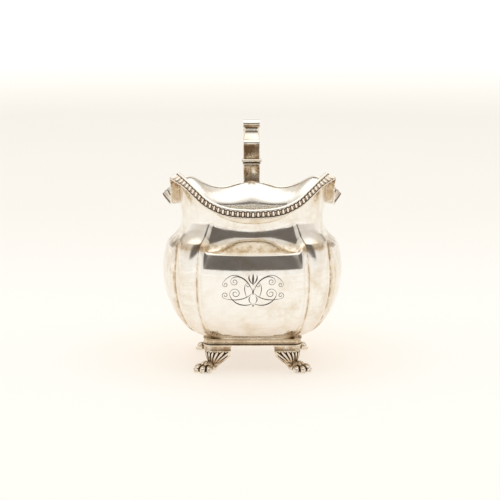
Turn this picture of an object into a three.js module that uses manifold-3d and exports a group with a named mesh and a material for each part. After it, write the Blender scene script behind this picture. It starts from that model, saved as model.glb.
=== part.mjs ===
// Silver cream jug: a four-panelled, lobed vessel with a waved and gadrooned rim, a tall strap handle and
// four cast paw feet. Millimetres, +Z up, the spout towards -Y and the handle towards +Y.
// Every piece is soldered to its neighbour in the real jug, so nothing here moves.
import * as THREE from "three";
import { mergeVertices } from "three/addons/utils/BufferGeometryUtils.js";
import Module from "manifold-3d";

const wasm = await Module();
wasm.setup();

// ---------- driving sizes ----------
const JOINT_GAP = 0.3; // clearance left where two soldered pieces meet
const WALL = 1.1; // gauge of the raised body
const BASE_UNDERSIDE = 13.7; // height of the base band's lower edge above the table
const BAND_HEIGHT = 3.6;
const BODY_FLOOR = BASE_UNDERSIDE + BAND_HEIGHT + JOINT_GAP;
const NECK_HEIGHT = 75.4; // the narrowest level of the neck
const LOBE_LIFT = 4.3; // how far the shoulder climbs from a panel to the corner lobe beside it
const LIFT_START = 54; // the wall below this height is not raised with the shoulder
const NECK_DIP = 0.3; // how far the neck dips at the middle of the spout
const NECK_SWAY = 4.8; // how much higher the neck stands at the front corners than in that dip
const SHOULDER = 62.4;
const BORDER_UNDERSIDE = 0.45; // the border's thickness below its inner edge
const WALL_TUCK = 1.25; // how far under the border the wall's outside reaches
const CORNER_DROP = 0.7; // the wall stands lower where two borders are mitred
const FLARE_OUT = 0.12; // the wall above the neck first climbs by FLARE_UP of its rise...
const FLARE_UP = 0.6; // ...while it moves out by only FLARE_OUT of its reach
const TONGUE_PITCH = 2.35;
const STRAP_WIDTH = 8.6;

// The vessel's plan at each level: half width at a panel's middle, how far across and how far out the
// crease beside the corner lobe lies, and how much the lobe bulges.
const LEVELS = [
  { z: BODY_FLOOR, half: 25.0, across: 20.2, out: 24.0, lobe: 0.7 },
  { z: 18.6, half: 28.6, across: 20.8, out: 26.2, lobe: 1.0 },
  { z: 20.6, half: 32.8, across: 22.2, out: 29.2, lobe: 1.5 },
  { z: 24.0, half: 36.8, across: 23.9, out: 32.0, lobe: 2.1 },
  { z: 28.5, half: 40.2, across: 25.3, out: 34.3, lobe: 2.6 },
  { z: 34.2, half: 42.8, across: 26.5, out: 36.1, lobe: 3.1 },
  { z: 41.0, half: 44.6, across: 27.2, out: 37.4, lobe: 3.4 },
  { z: 49.2, half: 45.3, across: 27.4, out: 38.0, lobe: 3.5 },
  { z: 55.2, half: 44.8, across: 27.1, out: 37.7, lobe: 3.4 },
  { z: 59.8, half: 43.8, across: 26.3, out: 36.9, lobe: 3.15 },
  { z: SHOULDER, half: 43.0, across: 25.4, out: 36.2, lobe: 2.95 },
  { z: 63.9, half: 41.0, across: 24.3, out: 35.3, lobe: 2.2 },
  { z: 66.0, half: 38.9, across: 22.9, out: 34.3, lobe: 1.9 },
  { z: 68.4, half: 37.2, across: 21.8, out: 33.8, lobe: 2.0 },
  { z: 71.4, half: 36.0, across: 20.9, out: 33.5, lobe: 2.3 },
  { z: NECK_HEIGHT, half: 35.5, across: 20.4, out: 33.4, lobe: 2.6 },
];

// The rim's inner edge on the jug's right side. "turn" runs from 0 at the spout through 2 at the front
// corner, 4 at the side and 6 at the rear corner to 8 at the handle. "face" is the compass direction, in
// degrees round from the spout, in which the border leans out, "droop" is how far it leans down and "wide"
// its width, which is greater across a mitred corner.
const RIM = [
  { turn: 0.0, x: 0.0, y: -50.0, z: 85.6, face: 0, droop: 57, wide: 4.8 },
  { turn: 0.4, x: 9.7, y: -48.9, z: 86.1, face: 12, droop: 56, wide: 4.8 },
  { turn: 0.65, x: 15.5, y: -46.8, z: 87.3, face: 21, droop: 53, wide: 4.8 },
  { turn: 0.9, x: 21.4, y: -42.9, z: 89.9, face: 32, droop: 48, wide: 4.8 },
  { turn: 1.18, x: 26.0, y: -38.5, z: 93.5, face: 43, droop: 42, wide: 4.8 },
  { turn: 1.57, x: 30.6, y: -33.0, z: 97.1, face: 54, droop: 34, wide: 4.8 },
  { turn: 2.0, x: 35.2, y: -26.0, z: 100.0, face: 66, droop: 24, wide: 6.1 },
  { turn: 2.45, x: 35.3, y: -21.6, z: 96.4, face: 78, droop: 30, wide: 5.7 },
  { turn: 3.05, x: 35.3, y: -15.5, z: 90.6, face: 86, droop: 26, wide: 5.8 },
  { turn: 3.42, x: 35.4, y: -9.0, z: 85.6, face: 89, droop: 19, wide: 5.8 },
  { turn: 3.8, x: 35.8, y: -2.0, z: 82.5, face: 88, droop: 12, wide: 5.6 },
  { turn: 4.2, x: 37.2, y: 6.0, z: 81.8, face: 87, droop: 14, wide: 5.2 },
  { turn: 4.8, x: 39.6, y: 16.0, z: 82.4, face: 92, droop: 20, wide: 4.8 },
  { turn: 6.0, x: 42.4, y: 30.0, z: 84.2, face: 122, droop: 27, wide: 6.0 },
  { turn: 6.35, x: 38.0, y: 36.6, z: 88.0, face: 142, droop: 28, wide: 4.8 },
  { turn: 6.6, x: 33.0, y: 40.2, z: 89.8, face: 154, droop: 28, wide: 4.8 },
  { turn: 7.0, x: 26.1, y: 42.4, z: 86.4, face: 166, droop: 28, wide: 4.8 },
  { turn: 7.25, x: 20.1, y: 43.5, z: 84.1, face: 172, droop: 28, wide: 4.8 },
  { turn: 7.5, x: 14.1, y: 44.1, z: 83.7, face: 176, droop: 28, wide: 4.8 },
  { turn: 7.75, x: 7.5, y: 44.4, z: 85.4, face: 178, droop: 28, wide: 4.8 },
  { turn: 8.0, x: 0.0, y: 44.5, z: 87.5, face: 180, droop: 28, wide: 4.8 },
];
const FRONT_CORNER = 2;
const REAR_CORNER = 6;
const HANDLE_TURN = 8;
const HANDLE_GAP_TURN = 7.8; // the back borders stop here, beside the handle's strap

const radians = THREE.MathUtils.degToRad;
const lerp = THREE.MathUtils.lerp;
const smoothstep = THREE.MathUtils.smoothstep;

// ---------- mesh helpers ----------

// The triangles between two closed loops with the same number of points.
function bridge(triangles, loopA, loopB, count) {
  for (let i = 0; i < count; i++) {
    const j = (i + 1) % count;
    triangles.push(loopA + i, loopA + j, loopB + j);
    triangles.push(loopA + i, loopB + j, loopB + i);
  }
}

// The signed volume tells which way a closed surface faces.
function signedVolume(points, triangles) {
  let volume = 0;
  for (let i = 0; i < triangles.length; i += 3) {
    const [a, b, c] = [0, 1, 2].map((n) => points[triangles[i + n]]);
    volume += a.dot(b.clone().cross(c)) / 6;
  }
  return volume;
}

function geometryFrom(points, triangles) {
  if (signedVolume(points, triangles) < 0) {
    for (let i = 0; i < triangles.length; i += 3) {
      [triangles[i + 1], triangles[i + 2]] = [triangles[i + 2], triangles[i + 1]];
    }
  }
  const geometry = new THREE.BufferGeometry().setFromPoints(points);
  geometry.setIndex(triangles);
  return geometry;
}

// A solid through a list of loops, closed at both ends by a fan to each end loop's middle.
function loftCapped(loops) {
  const count = loops[0].length;
  const points = loops.flat();
  const triangles = [];
  for (let i = 0; i + 1 < loops.length; i++) {
    bridge(triangles, i * count, (i + 1) * count, count);
  }
  const middle = (loop) =>
    loop.reduce((sum, p) => sum.add(p), new THREE.Vector3()).divideScalar(loop.length);
  const first = points.push(middle(loops[0])) - 1;
  const last = points.push(middle(loops[loops.length - 1])) - 1;
  const lastLoop = (loops.length - 1) * count;
  for (let i = 0; i < count; i++) {
    const j = (i + 1) % count;
    triangles.push(first, j, i);
    triangles.push(last, lastLoop + i, lastLoop + j);
  }
  return geometryFrom(points, triangles);
}

// A ring-shaped solid: the last loop joins back to the first.
function loftRound(loops) {
  const count = loops[0].length;
  const triangles = [];
  for (let i = 0; i < loops.length; i++) {
    bridge(triangles, i * count, ((i + 1) % loops.length) * count, count);
  }
  return geometryFrom(loops.flat(), triangles);
}

function solidOf(geometry) {
  const bare = geometry.clone();
  bare.deleteAttribute("normal");
  bare.deleteAttribute("uv");
  const merged = mergeVertices(bare, 1e-4);
  return new wasm.Manifold(
    new wasm.Mesh({
      numProp: 3,
      vertProperties: new Float32Array(merged.attributes.position.array),
      triVerts: new Uint32Array(merged.index.array),
    }),
  );
}

function geometryOf(solid) {
  const mesh = solid.getMesh();
  return new THREE.BufferGeometry()
    .setAttribute("position", new THREE.BufferAttribute(new Float32Array(mesh.vertProperties), 3))
    .setIndex(new THREE.BufferAttribute(new Uint32Array(mesh.triVerts), 1));
}

// A value read smoothly from a table: a cubic that passes through every row, level at neither end.
function smoothRow(rows, key, at, fields, from = 0, to = rows.length - 1) {
  let i = from;
  while (i < to - 1 && at > rows[i + 1][key]) i++;
  const span = rows[i + 1][key] - rows[i][key];
  const t = THREE.MathUtils.clamp((at - rows[i][key]) / span, 0, 1);
  const slope = (n, field) => {
    const a = rows[Math.max(from, n - 1)];
    const b = rows[Math.min(to, n + 1)];
    return (b[field] - a[field]) / (b[key] - a[key]);
  };
  const row = {};
  for (const field of fields) {
    const rise = [slope(i, field) * span, slope(i + 1, field) * span];
    const h = [2 * t ** 3 - 3 * t ** 2 + 1, t ** 3 - 2 * t ** 2 + t];
    const g = [3 * t ** 2 - 2 * t ** 3, t ** 3 - t ** 2];
    row[field] = h[0] * rows[i][field] + h[1] * rise[0] + g[0] * rows[i + 1][field] + g[1] * rise[1];
  }
  return row;
}

// ---------- the vessel ----------

// One eighth of the plan: turn 0 is a panel's middle, 1 the crease and 2 the corner lobe's middle.
// The answer is the distance across the panel and the distance out from the jug's axis.
function planEighth(turn, level) {
  if (turn <= 1) {
    return { across: level.across * turn, out: level.half - (level.half - level.out) * turn ** 2 };
  }
  const share = turn - 1;
  const corner = (level.across + level.out) / 2;
  const bulge = (level.lobe * (1 - (1 - share) ** 2)) / Math.SQRT2;
  return {
    across: lerp(level.across, corner, share) + bulge,
    out: lerp(level.out, corner, share) + bulge,
  };
}

// A point of the plan for any turn from 0 (the spout) to 8 (the handle); a negative turn is the left side.
function planPoint(turn, level) {
  const side = Math.sign(turn) || 1;
  const around = Math.abs(turn);
  const quarter = Math.min(Math.floor((around + 2) / 4), 2); // front, side or back panel
  const offset = around - quarter * 4;
  const p = planEighth(Math.abs(offset), level);
  const across = p.across * (Math.sign(offset) || 1);
  const byQuarter = [
    [across, -p.out],
    [p.out, across],
    [-across, p.out],
  ];
  const [x, y] = byQuarter[quarter];
  return new THREE.Vector2(side * x, y);
}

// The shoulder stays level along a panel and climbs, at the panel's end, to the top of the corner lobe.
function liftAt(turn, z) {
  const offset = Math.abs(((Math.abs(turn) + 2) % 4) - 2);
  const atEnd = smoothstep(offset, 0.86, 1.04);
  const fading = smoothstep(z, LIFT_START, SHOULDER) * (1 - smoothstep(z, SHOULDER + 1, SHOULDER + 10));
  return LOBE_LIFT * atEnd * fading;
}

// The neck dips at the middle of the spout and stands higher at the front corners.
function neckSway(turn, z) {
  const around = Math.abs(turn);
  const height = NECK_SWAY * Math.min(around, 1) ** 2 - NECK_DIP;
  const fading = 1 - smoothstep(around, FRONT_CORNER, FRONT_CORNER + 1);
  return height * fading * smoothstep(z, SHOULDER + 0.8, SHOULDER + 8);
}

function vesselPoint(turn, level, inset) {
  const thin = { ...level };
  thin.half -= inset;
  thin.out -= inset;
  thin.across -= inset / 2;
  const p = planPoint(turn, thin);
  return new THREE.Vector3(p.x, p.y, level.z + liftAt(turn, level.z) + neckSway(turn, level.z));
}

// ---------- the rim ----------

function rimFrame(turn) {
  const around = Math.abs(turn);
  const side = Math.sign(turn) || 1;
  const fields = ["x", "y", "z", "face", "droop", "wide"];
  const stops = [0, FRONT_CORNER, REAR_CORNER, HANDLE_TURN].map((t) => RIM.findIndex((r) => r.turn === t));
  const piece = around <= FRONT_CORNER ? 0 : around <= REAR_CORNER ? 1 : 2;
  const row = smoothRow(RIM, "turn", around, fields, stops[piece], stops[piece + 1]);
  const lean = radians(row.droop);
  const face = radians(row.face);
  const out = new THREE.Vector3(
    side * Math.sin(face) * Math.cos(lean),
    -Math.cos(face) * Math.cos(lean),
    -Math.sin(lean),
  );
  return { edge: new THREE.Vector3(side * row.x, row.y, row.z), out, wide: row.wide };
}

// The rim's own axes: along it, outwards across the border, and up out of the border's face.
function rimAxes(turn, from, to) {
  const step = 0.02;
  const low = Math.max(turn - step, from);
  const high = Math.min(turn + step, to);
  const along = rimFrame(high).edge.sub(rimFrame(low).edge).normalize();
  const { edge, out, wide } = rimFrame(turn);
  const up = along.clone().cross(out).normalize();
  if (up.z < 0) up.negate();
  return { edge, out, up, wide };
}

function rimPiece(turn) {
  const around = Math.abs(turn);
  const limits =
    around < FRONT_CORNER
      ? [-FRONT_CORNER, FRONT_CORNER]
      : around < REAR_CORNER
        ? [FRONT_CORNER, REAR_CORNER]
        : [REAR_CORNER, HANDLE_TURN];
  return turn < 0 && around >= FRONT_CORNER ? [-limits[1], -limits[0]] : limits;
}

// At a corner two borders meet in one mitre, so both use the axes half way between their own.
function cornerAxes(turn) {
  const around = Math.abs(turn);
  const side = Math.sign(turn);
  const before = around === FRONT_CORNER ? 0 : FRONT_CORNER;
  const after = around === FRONT_CORNER ? REAR_CORNER : HANDLE_TURN;
  const sorted = (a, b) => [side * a, side * b].sort((p, q) => p - q);
  const axes = rimAxes(turn, ...sorted(before, around));
  axes.up.add(rimAxes(turn, ...sorted(around, after)).up).normalize();
  return axes;
}

function isCorner(turn) {
  return [FRONT_CORNER, REAR_CORNER].some((corner) => Math.abs(Math.abs(turn) - corner) < 1e-6);
}

// Where the vessel's wall ends, just below the border.
function wallTop(turn, inset) {
  const corner = isCorner(turn);
  const { edge, out, up } = corner ? cornerAxes(turn) : rimAxes(turn, ...rimPiece(turn));
  const drop = BORDER_UNDERSIDE + JOINT_GAP + (corner ? CORNER_DROP : 0);
  return edge.addScaledVector(out, WALL_TUCK - inset).addScaledVector(up, -drop);
}

// The wall above the neck leaves it upright and sweeps out to the rim.
function upperWallPoint(turn, share, inset) {
  const neck = vesselPoint(turn, LEVELS[LEVELS.length - 1], inset);
  const top = wallTop(turn, inset);
  const reach = top.clone().sub(neck);
  const bend = neck.clone().add(reach.multiply(new THREE.Vector3(FLARE_OUT, FLARE_OUT, FLARE_UP)));
  return new THREE.QuadraticBezierCurve3(neck, bend, top).getPoint(share);
}

// The turns at which the body is sampled: closer together at the creases.
const EIGHTH_TURNS = [0, 0.3, 0.58, 0.8, 0.86, 0.93, 1, 1.04, 1.14, 1.4, 1.7];

function bodyTurns() {
  const half = [];
  for (let eighth = 0; eighth < 4; eighth++) {
    const base = eighth * 2;
    const mirrored = eighth % 2 === 1;
    for (const t of EIGHTH_TURNS) {
      half.push(mirrored ? base + 2 - t : base + t);
    }
    if (mirrored) half.push(base);
  }
  const right = [...new Set(half.map((t) => Number(t.toFixed(4))))].sort((a, b) => a - b);
  const left = right.filter((t) => t > 0 && t < HANDLE_TURN).map((t) => -t);
  return [...right, HANDLE_TURN, ...left.reverse()].filter((t, i, all) => all.indexOf(t) === i);
}

function bodyShell() {
  const turns = bodyTurns();
  const loops = [];
  const aboveNeck = [0.2, 0.4, 0.6, 0.8, 1];
  for (const level of LEVELS) {
    loops.push(turns.map((t) => vesselPoint(t, level, 0)));
  }
  for (const share of aboveNeck) {
    loops.push(turns.map((t) => upperWallPoint(t, share, 0)));
  }
  for (const share of [...aboveNeck].reverse()) {
    loops.push(turns.map((t) => upperWallPoint(t, share, WALL)));
  }
  const inside = LEVELS.filter((level, i) => i % 2 === 1 && level.z > BODY_FLOOR + WALL);
  inside.push(LEVELS[LEVELS.length - 1]);
  for (const level of inside.reverse()) {
    loops.push(turns.map((t) => vesselPoint(t, level, WALL)));
  }
  const floor = { ...LEVELS[1], z: BODY_FLOOR + WALL };
  loops.push(turns.map((t) => vesselPoint(t, floor, WALL)));
  return loftCapped(loops);
}

// ---------- the border strips ----------

// Turns spread at equal steps along the rim between two turns.
function evenTurns(from, to, steps) {
  const fine = 600;
  const lengths = [0];
  let before = rimFrame(from).edge;
  for (let i = 1; i <= fine; i++) {
    const here = rimFrame(lerp(from, to, i / fine)).edge;
    lengths.push(lengths[i - 1] + here.distanceTo(before));
    before = here;
  }
  const total = lengths[fine];
  const turns = [];
  let i = 0;
  for (let n = 0; n <= steps; n++) {
    const want = (total * n) / steps;
    while (i < fine - 1 && lengths[i + 1] < want) i++;
    const share = (want - lengths[i]) / (lengths[i + 1] - lengths[i]);
    turns.push(lerp(from, to, (i + share) / fine));
  }
  return { turns, total };
}

// The border's section: a bead along the inner edge, then the tongues, then a thin plain edge.
// "raised" is 1 on a tongue and 0 in the gap beside it.
function borderSection(raised, wide) {
  const tongue = 0.15 + 0.75 * raised;
  return [
    [0, -BORDER_UNDERSIDE],
    [0, 0.2],
    [0.5, 0.6],
    [1.3, 0.4],
    [1.7, tongue],
    [wide - 0.5, tongue * 0.8],
    [wide, 0.0],
    [wide, -BORDER_UNDERSIDE],
  ];
}

function borderStrip(from, to, trimStart, trimEnd) {
  const { total } = evenTurns(from, to, 1);
  const tongues = Math.round(total / TONGUE_PITCH);
  const { turns } = evenTurns(from, to, tongues * 2);
  const loops = turns.map((turn, i) => {
    const limits = rimPiece((from + to) / 2);
    const { edge, out, up, wide } = isCorner(turn) ? cornerAxes(turn) : rimAxes(turn, ...limits);
    const raised = i % 2;
    const along = rimFrame(turns[Math.min(i + 1, turns.length - 1)]).edge;
    along.sub(rimFrame(turns[Math.max(i - 1, 0)]).edge).normalize();
    const shift = i === 0 ? trimStart : i === turns.length - 1 ? -trimEnd : 0;
    return borderSection(raised, wide).map(([across, height]) =>
      edge.clone().addScaledVector(out, across).addScaledVector(up, height).addScaledVector(along, shift),
    );
  });
  return loftCapped(loops);
}

// ---------- the base band ----------

function roundedSquare(half, radius, perCorner) {
  const points = [];
  for (let corner = 0; corner < 4; corner++) {
    const centre = new THREE.Vector2(half - radius, half - radius);
    for (let i = 0; i <= perCorner; i++) {
      const angle = (Math.PI / 2) * (i / perCorner);
      const p = new THREE.Vector2(centre.x + radius * Math.cos(angle), centre.y + radius * Math.sin(angle));
      p.rotateAround(new THREE.Vector2(), (Math.PI / 2) * corner);
      points.push(p);
    }
  }
  return points;
}

const BAND_HALF = 24.4;
const BAND_RADIUS = 4.6;

function baseBand() {
  const section = [
    [0.0, 0.0],
    [0.0, 0.7],
    [-0.8, 1.5],
    [-0.7, 2.6],
    [0.3, 3.1],
    [0.3, BAND_HEIGHT],
    [-4.4, BAND_HEIGHT],
    [-4.4, 0.0],
  ];
  const loops = section.map(([outward, height]) =>
    roundedSquare(BAND_HALF + outward, BAND_RADIUS + outward, 5).map(
      (p) => new THREE.Vector3(p.x, p.y, BASE_UNDERSIDE + height),
    ),
  );
  return loftRound(loops);
}

// ---------- the feet ----------

const FOOT_TOP = BASE_UNDERSIDE - JOINT_GAP;
const FOOT_PLATE = 1.0;
const ANKLE_CENTRE = 19.3;
const ANKLE_HEIGHT = 2.4; // where the bracket ends, inside the top of the paw
const ANKLE_RADIUS = 2.7;
const WING_FOOT = 7.8; // the bracket keeps its full spread down to here
const PAW_TOP = 6.4; // no part of a paw stands higher
const PAW_SPACE = 50; // wider than any paw
const WING_END = 10.8; // where the fluted bracket's wings stop, beside the jug's middle line
const WING_DEPTH = 4.0;
const WING_FACE = 24.0;
const BRACKET_HEEL = 15.8; // the bracket's inner corner, seen from above
const FLUTES = 8; // points along each wing, every second one at the bottom of a flute
const FLUTE_DEPTH = 0.55;

// The bracket's outline seen from above, for the front right foot: out along the front wing, round the
// corner, back along the side wing and home along the inside. "shrink" draws it in towards the ankle.
function bracketOutline(z, shrink, grow) {
  const corner = 4.2;
  const outer = [];
  const wing = (f) => lerp(WING_END, WING_FACE - corner, f);
  const fluted = (i) => (i % 2 === 0 ? 0 : FLUTE_DEPTH * (1 - shrink));
  for (let i = 0; i <= FLUTES; i++) {
    outer.push(new THREE.Vector2(wing(i / FLUTES), fluted(i) - WING_FACE));
  }
  for (let i = 1; i <= 3; i++) {
    const angle = (Math.PI / 2) * (i / 4);
    const c = WING_FACE - corner;
    outer.push(new THREE.Vector2(c + corner * Math.sin(angle), -c - corner * Math.cos(angle)));
  }
  for (let i = FLUTES; i >= 0; i--) {
    outer.push(new THREE.Vector2(WING_FACE - fluted(i), -wing(i / FLUTES)));
  }
  const inside = WING_FACE - WING_DEPTH;
  outer.push(new THREE.Vector2(inside, -WING_END));
  outer.push(new THREE.Vector2(BRACKET_HEEL, -BRACKET_HEEL));
  outer.push(new THREE.Vector2(WING_END, -inside));
  const ankle = new THREE.Vector2(ANKLE_CENTRE, -ANKLE_CENTRE);
  return outer.map((p) => {
    const away = p.clone().sub(ankle);
    const round = away.clone().setLength(ANKLE_RADIUS);
    const spread = away.lerp(round, shrink);
    const q = spread.setLength(spread.length() + grow).add(ankle);
    return new THREE.Vector3(q.x, q.y, z);
  });
}

function footBracket(grow = 0) {
  const top = FOOT_TOP - FOOT_PLATE - JOINT_GAP;
  const rows = [
    [top, 0],
    [WING_FOOT + 2, 0.02],
    [WING_FOOT, 0.05],
    [WING_FOOT - 1.5, 0.3],
    [WING_FOOT - 3.2, 0.62],
    [ANKLE_HEIGHT - grow, 1],
  ];
  return loftCapped(rows.map(([z, shrink]) => bracketOutline(z, shrink, grow)));
}

function footPlate() {
  const lip = 0.5;
  const z = [FOOT_TOP, FOOT_TOP - FOOT_PLATE];
  const near = WING_END - lip;
  const far = WING_FACE + lip;
  const inside = WING_FACE - WING_DEPTH - lip;
  const heel = BRACKET_HEEL - lip;
  const cut = 4.6;
  const outline = [
    [near, -far],
    [far - cut, -far],
    [far - cut * 0.3, -far + cut * 0.3],
    [far, -far + cut],
    [far, -near],
    [inside, -near],
    [heel, -heel],
    [near, -inside],
  ];
  return new THREE.ExtrudeGeometry(new THREE.Shape(outline.map(([x, y]) => new THREE.Vector2(x, y))), {
    depth: FOOT_PLATE,
    bevelEnabled: false,
  }).translate(0, 0, z[1]);
}

// An ellipsoid placed in a foot's own frame: "ahead" points diagonally out of the jug's corner.
function footBall(ahead, aside, z, size) {
  const ball = new THREE.SphereGeometry(1, 10, 7).rotateX(Math.PI / 2).scale(...size);
  const diagonal = -Math.PI / 4;
  return solidOf(
    ball
      .rotateZ(diagonal)
      .translate(
        ahead * Math.cos(diagonal) - aside * Math.sin(diagonal),
        ahead * Math.sin(diagonal) + aside * Math.cos(diagonal),
        z,
      ),
  );
}

const PAW_AHEAD = ANKLE_CENTRE * Math.SQRT2;

function footPaw() {
  const toes = [
    [6.6, -3.9, 1.9],
    [8.6, -1.4, 2.2],
    [8.6, 1.4, 2.2],
    [6.6, 3.9, 1.9],
  ];
  const instep = footBall(PAW_AHEAD + 0.6, 0, 3.2, [3.4, 3.2, 2.6]);
  let paw = footBall(PAW_AHEAD + 4.4, 0, 2.3, [5.0, 4.8, 2.8]).add(instep);
  for (const [ahead, aside, z] of toes) {
    paw = paw.add(footBall(PAW_AHEAD + ahead, aside, z, [3.0, 1.55, z + 0.6]));
  }
  const aboveTable = new THREE.BoxGeometry(PAW_SPACE, PAW_SPACE, PAW_TOP);
  aboveTable.translate(ANKLE_CENTRE, -ANKLE_CENTRE, PAW_TOP / 2);
  return geometryOf(paw.intersect(solidOf(aboveTable)).subtract(solidOf(footBracket(JOINT_GAP))));
}

// ---------- the handle ----------

// A strap along a path in the middle plane. Each row: y, z, thickness, width.
function strap(rows) {
  const centre = new THREE.CatmullRomCurve3(
    rows.map((r) => new THREE.Vector3(0, r[0], r[1])),
    false,
    "centripetal",
  );
  const steps = (rows.length - 1) * 4;
  const loops = [];
  for (let n = 0; n <= steps; n++) {
    const at = (n / steps) * (rows.length - 1);
    const i = Math.min(Math.floor(at), rows.length - 2);
    const thick = lerp(rows[i][2], rows[i + 1][2], at - i) / 2;
    const wide = lerp(rows[i][3], rows[i + 1][3], at - i) / 2;
    const point = centre.getPoint(n / steps);
    const along = centre.getTangent(n / steps);
    const across = new THREE.Vector3(0, along.z, -along.y);
    const bevel = Math.min(0.6, thick * 0.5);
    const section = [
      [wide, thick - bevel],
      [wide - bevel, thick],
      [bevel - wide, thick],
      [-wide, thick - bevel],
      [-wide, bevel - thick],
      [bevel - wide, -thick],
      [wide - bevel, -thick],
      [wide, bevel - thick],
    ];
    loops.push(section.map(([x, t]) => new THREE.Vector3(x, 0, 0).addScaledVector(across, t).add(point)));
  }
  return loftCapped(loops);
}

// A bar across the handle with the given outline in the middle plane.
function crossBar(outline, width) {
  const shape = new THREE.Shape(outline.map(([y, z]) => new THREE.Vector2(y, z)));
  const bar = new THREE.ExtrudeGeometry(shape, { depth: width, bevelEnabled: false });
  return bar.translate(0, 0, -width / 2).applyMatrix4(
    new THREE.Matrix4().makeBasis(
      new THREE.Vector3(0, 1, 0),
      new THREE.Vector3(0, 0, 1),
      new THREE.Vector3(1, 0, 0),
    ),
  );
}

function roundOutline(y, z, radius, count) {
  const points = [];
  for (let i = 0; i < count; i++) {
    const angle = (2 * Math.PI * i) / count;
    points.push([y + radius * Math.cos(angle), z + radius * Math.sin(angle)]);
  }
  return points;
}

const COLLAR_BOTTOM = 94.9;
const COLLAR_TOP = 98.5;
const RISER_Y = 48.4;

function handleRoot() {
  return strap([
    [38.4, 77.4, 3.6, 9.6],
    [42.2, 79.4, 3.2, STRAP_WIDTH],
    [46.9, 84.0, 3.0, STRAP_WIDTH],
    [RISER_Y, 90.0, 3.0, STRAP_WIDTH],
    [RISER_Y, COLLAR_BOTTOM - JOINT_GAP, 3.0, STRAP_WIDTH],
  ]);
}

function handleCollar() {
  const middle = (COLLAR_BOTTOM + COLLAR_TOP) / 2;
  const rows = [
    [COLLAR_BOTTOM, 9.2, 3.8],
    [COLLAR_BOTTOM + 0.4, 9.9, 4.6],
    [middle - 0.5, 9.9, 4.6],
    [middle, 9.0, 3.7],
    [middle + 0.4, 10.9, 5.4],
    [COLLAR_TOP - 0.4, 10.9, 5.4],
    [COLLAR_TOP, 10.0, 4.6],
  ];
  const loops = rows.map(([z, width, depth]) => {
    const corner = 0.9;
    const [w, d] = [width / 2, depth / 2];
    const outline = [
      [w - corner, -d],
      [w, corner - d],
      [w, d - corner],
      [w - corner, d],
      [corner - w, d],
      [-w, d - corner],
      [-w, corner - d],
      [corner - w, -d],
    ];
    return outline.map(([x, y]) => new THREE.Vector3(x, RISER_Y + y, z));
  });
  return loftCapped(loops);
}

function handlePost() {
  return strap([
    [RISER_Y, COLLAR_TOP + JOINT_GAP, 3.2, 8.4],
    [RISER_Y + 0.2, 101.6, 3.1, 8.4],
    [RISER_Y + 0.8, 104.6, 3.0, 8.5],
  ]);
}

const KNUCKLE = [RISER_Y + 1.2, 106.6];
const KNUCKLE_RADIUS = 1.6;

function handleKnuckle() {
  return crossBar(roundOutline(KNUCKLE[0], KNUCKLE[1], KNUCKLE_RADIUS, 16), 8.9);
}

const SCROLL = [54.6, 116.0];
const SCROLL_RADIUS = 2.5;

function handleThroat() {
  return strap([
    [KNUCKLE[0] + 2.1, KNUCKLE[1] + 2.2, 2.2, 8.2],
    [KNUCKLE[0] + 3.5, KNUCKLE[1] + 4.4, 2.1, 7.5],
    [KNUCKLE[0] + 3.9, KNUCKLE[1] + 6.2, 2.1, 7.4],
  ]);
}

function handleScroll() {
  return crossBar(roundOutline(SCROLL[0], SCROLL[1], SCROLL_RADIUS, 20), 8.8);
}

// The finger loop: over the top, out behind the jug and down to the belly.
function handleLoop() {
  return strap([
    [SCROLL[0] + SCROLL_RADIUS + 0.3, 115.8, 2.8, 8.2],
    [64.5, 115.6, 3.2, 8.4],
    [74.0, 112.9, 3.6, 8.6],
    [82.4, 106.5, 4.0, 8.8],
    [86.6, 95.6, 4.2, 9.0],
    [86.0, 83.5, 4.0, 8.8],
    [80.6, 72.4, 3.7, 8.4],
    [72.0, 63.6, 3.4, 8.0],
    [62.0, 56.8, 3.2, 7.6],
    [52.7, 53.8, 3.2, 7.6],
  ]);
}

const TAIL_SCROLL = [80.0, 64.2];
const TAIL_RADIUS = 2.6;

function handleTail() {
  return crossBar(roundOutline(TAIL_SCROLL[0], TAIL_SCROLL[1], TAIL_RADIUS, 18), 8.0);
}

const PAD_HEIGHT = 53.0; // height of the pad's middle above the table
const PAD_HALF = [6.4, 5.0]; // half its width and half its height

// The oval plate by which the loop's lower end is soldered to the back panel.
function handleLowerPad() {
  const around = 16;
  const rows = [
    [46.2, 0.86],
    [47.4, 1.0],
    [49.0, 0.92],
    [50.6, 0.72],
    [52.1, 0.66],
  ];
  const loops = rows.map(([y, size]) => {
    const loop = [];
    for (let i = 0; i < around; i++) {
      const angle = (2 * Math.PI * i) / around;
      const x = PAD_HALF[0] * size * Math.cos(angle);
      const z = PAD_HEIGHT + PAD_HALF[1] * size * Math.sin(angle);
      loop.push(new THREE.Vector3(x, y, z));
    }
    return loop;
  });
  return loftCapped(loops);
}

// ---------- assembly ----------

const silver = (color, roughness) => new THREE.MeshStandardMaterial({ color, roughness, metalness: 1 });
const POLISHED = silver(0xe4dfd2, 0.18);
const CAST = silver(0xcbc4b4, 0.32);
const BORDER = silver(0xd6cfbf, 0.26);

const group = new THREE.Group();
group.name = "cream_jug";

function addPiece(name, geometry, material) {
  const mesh = new THREE.Mesh(geometry, material);
  mesh.name = name;
  group.add(mesh);
}

addPiece("body_shell", bodyShell(), POLISHED);
addPiece("base_band", baseBand(), POLISHED);

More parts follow.
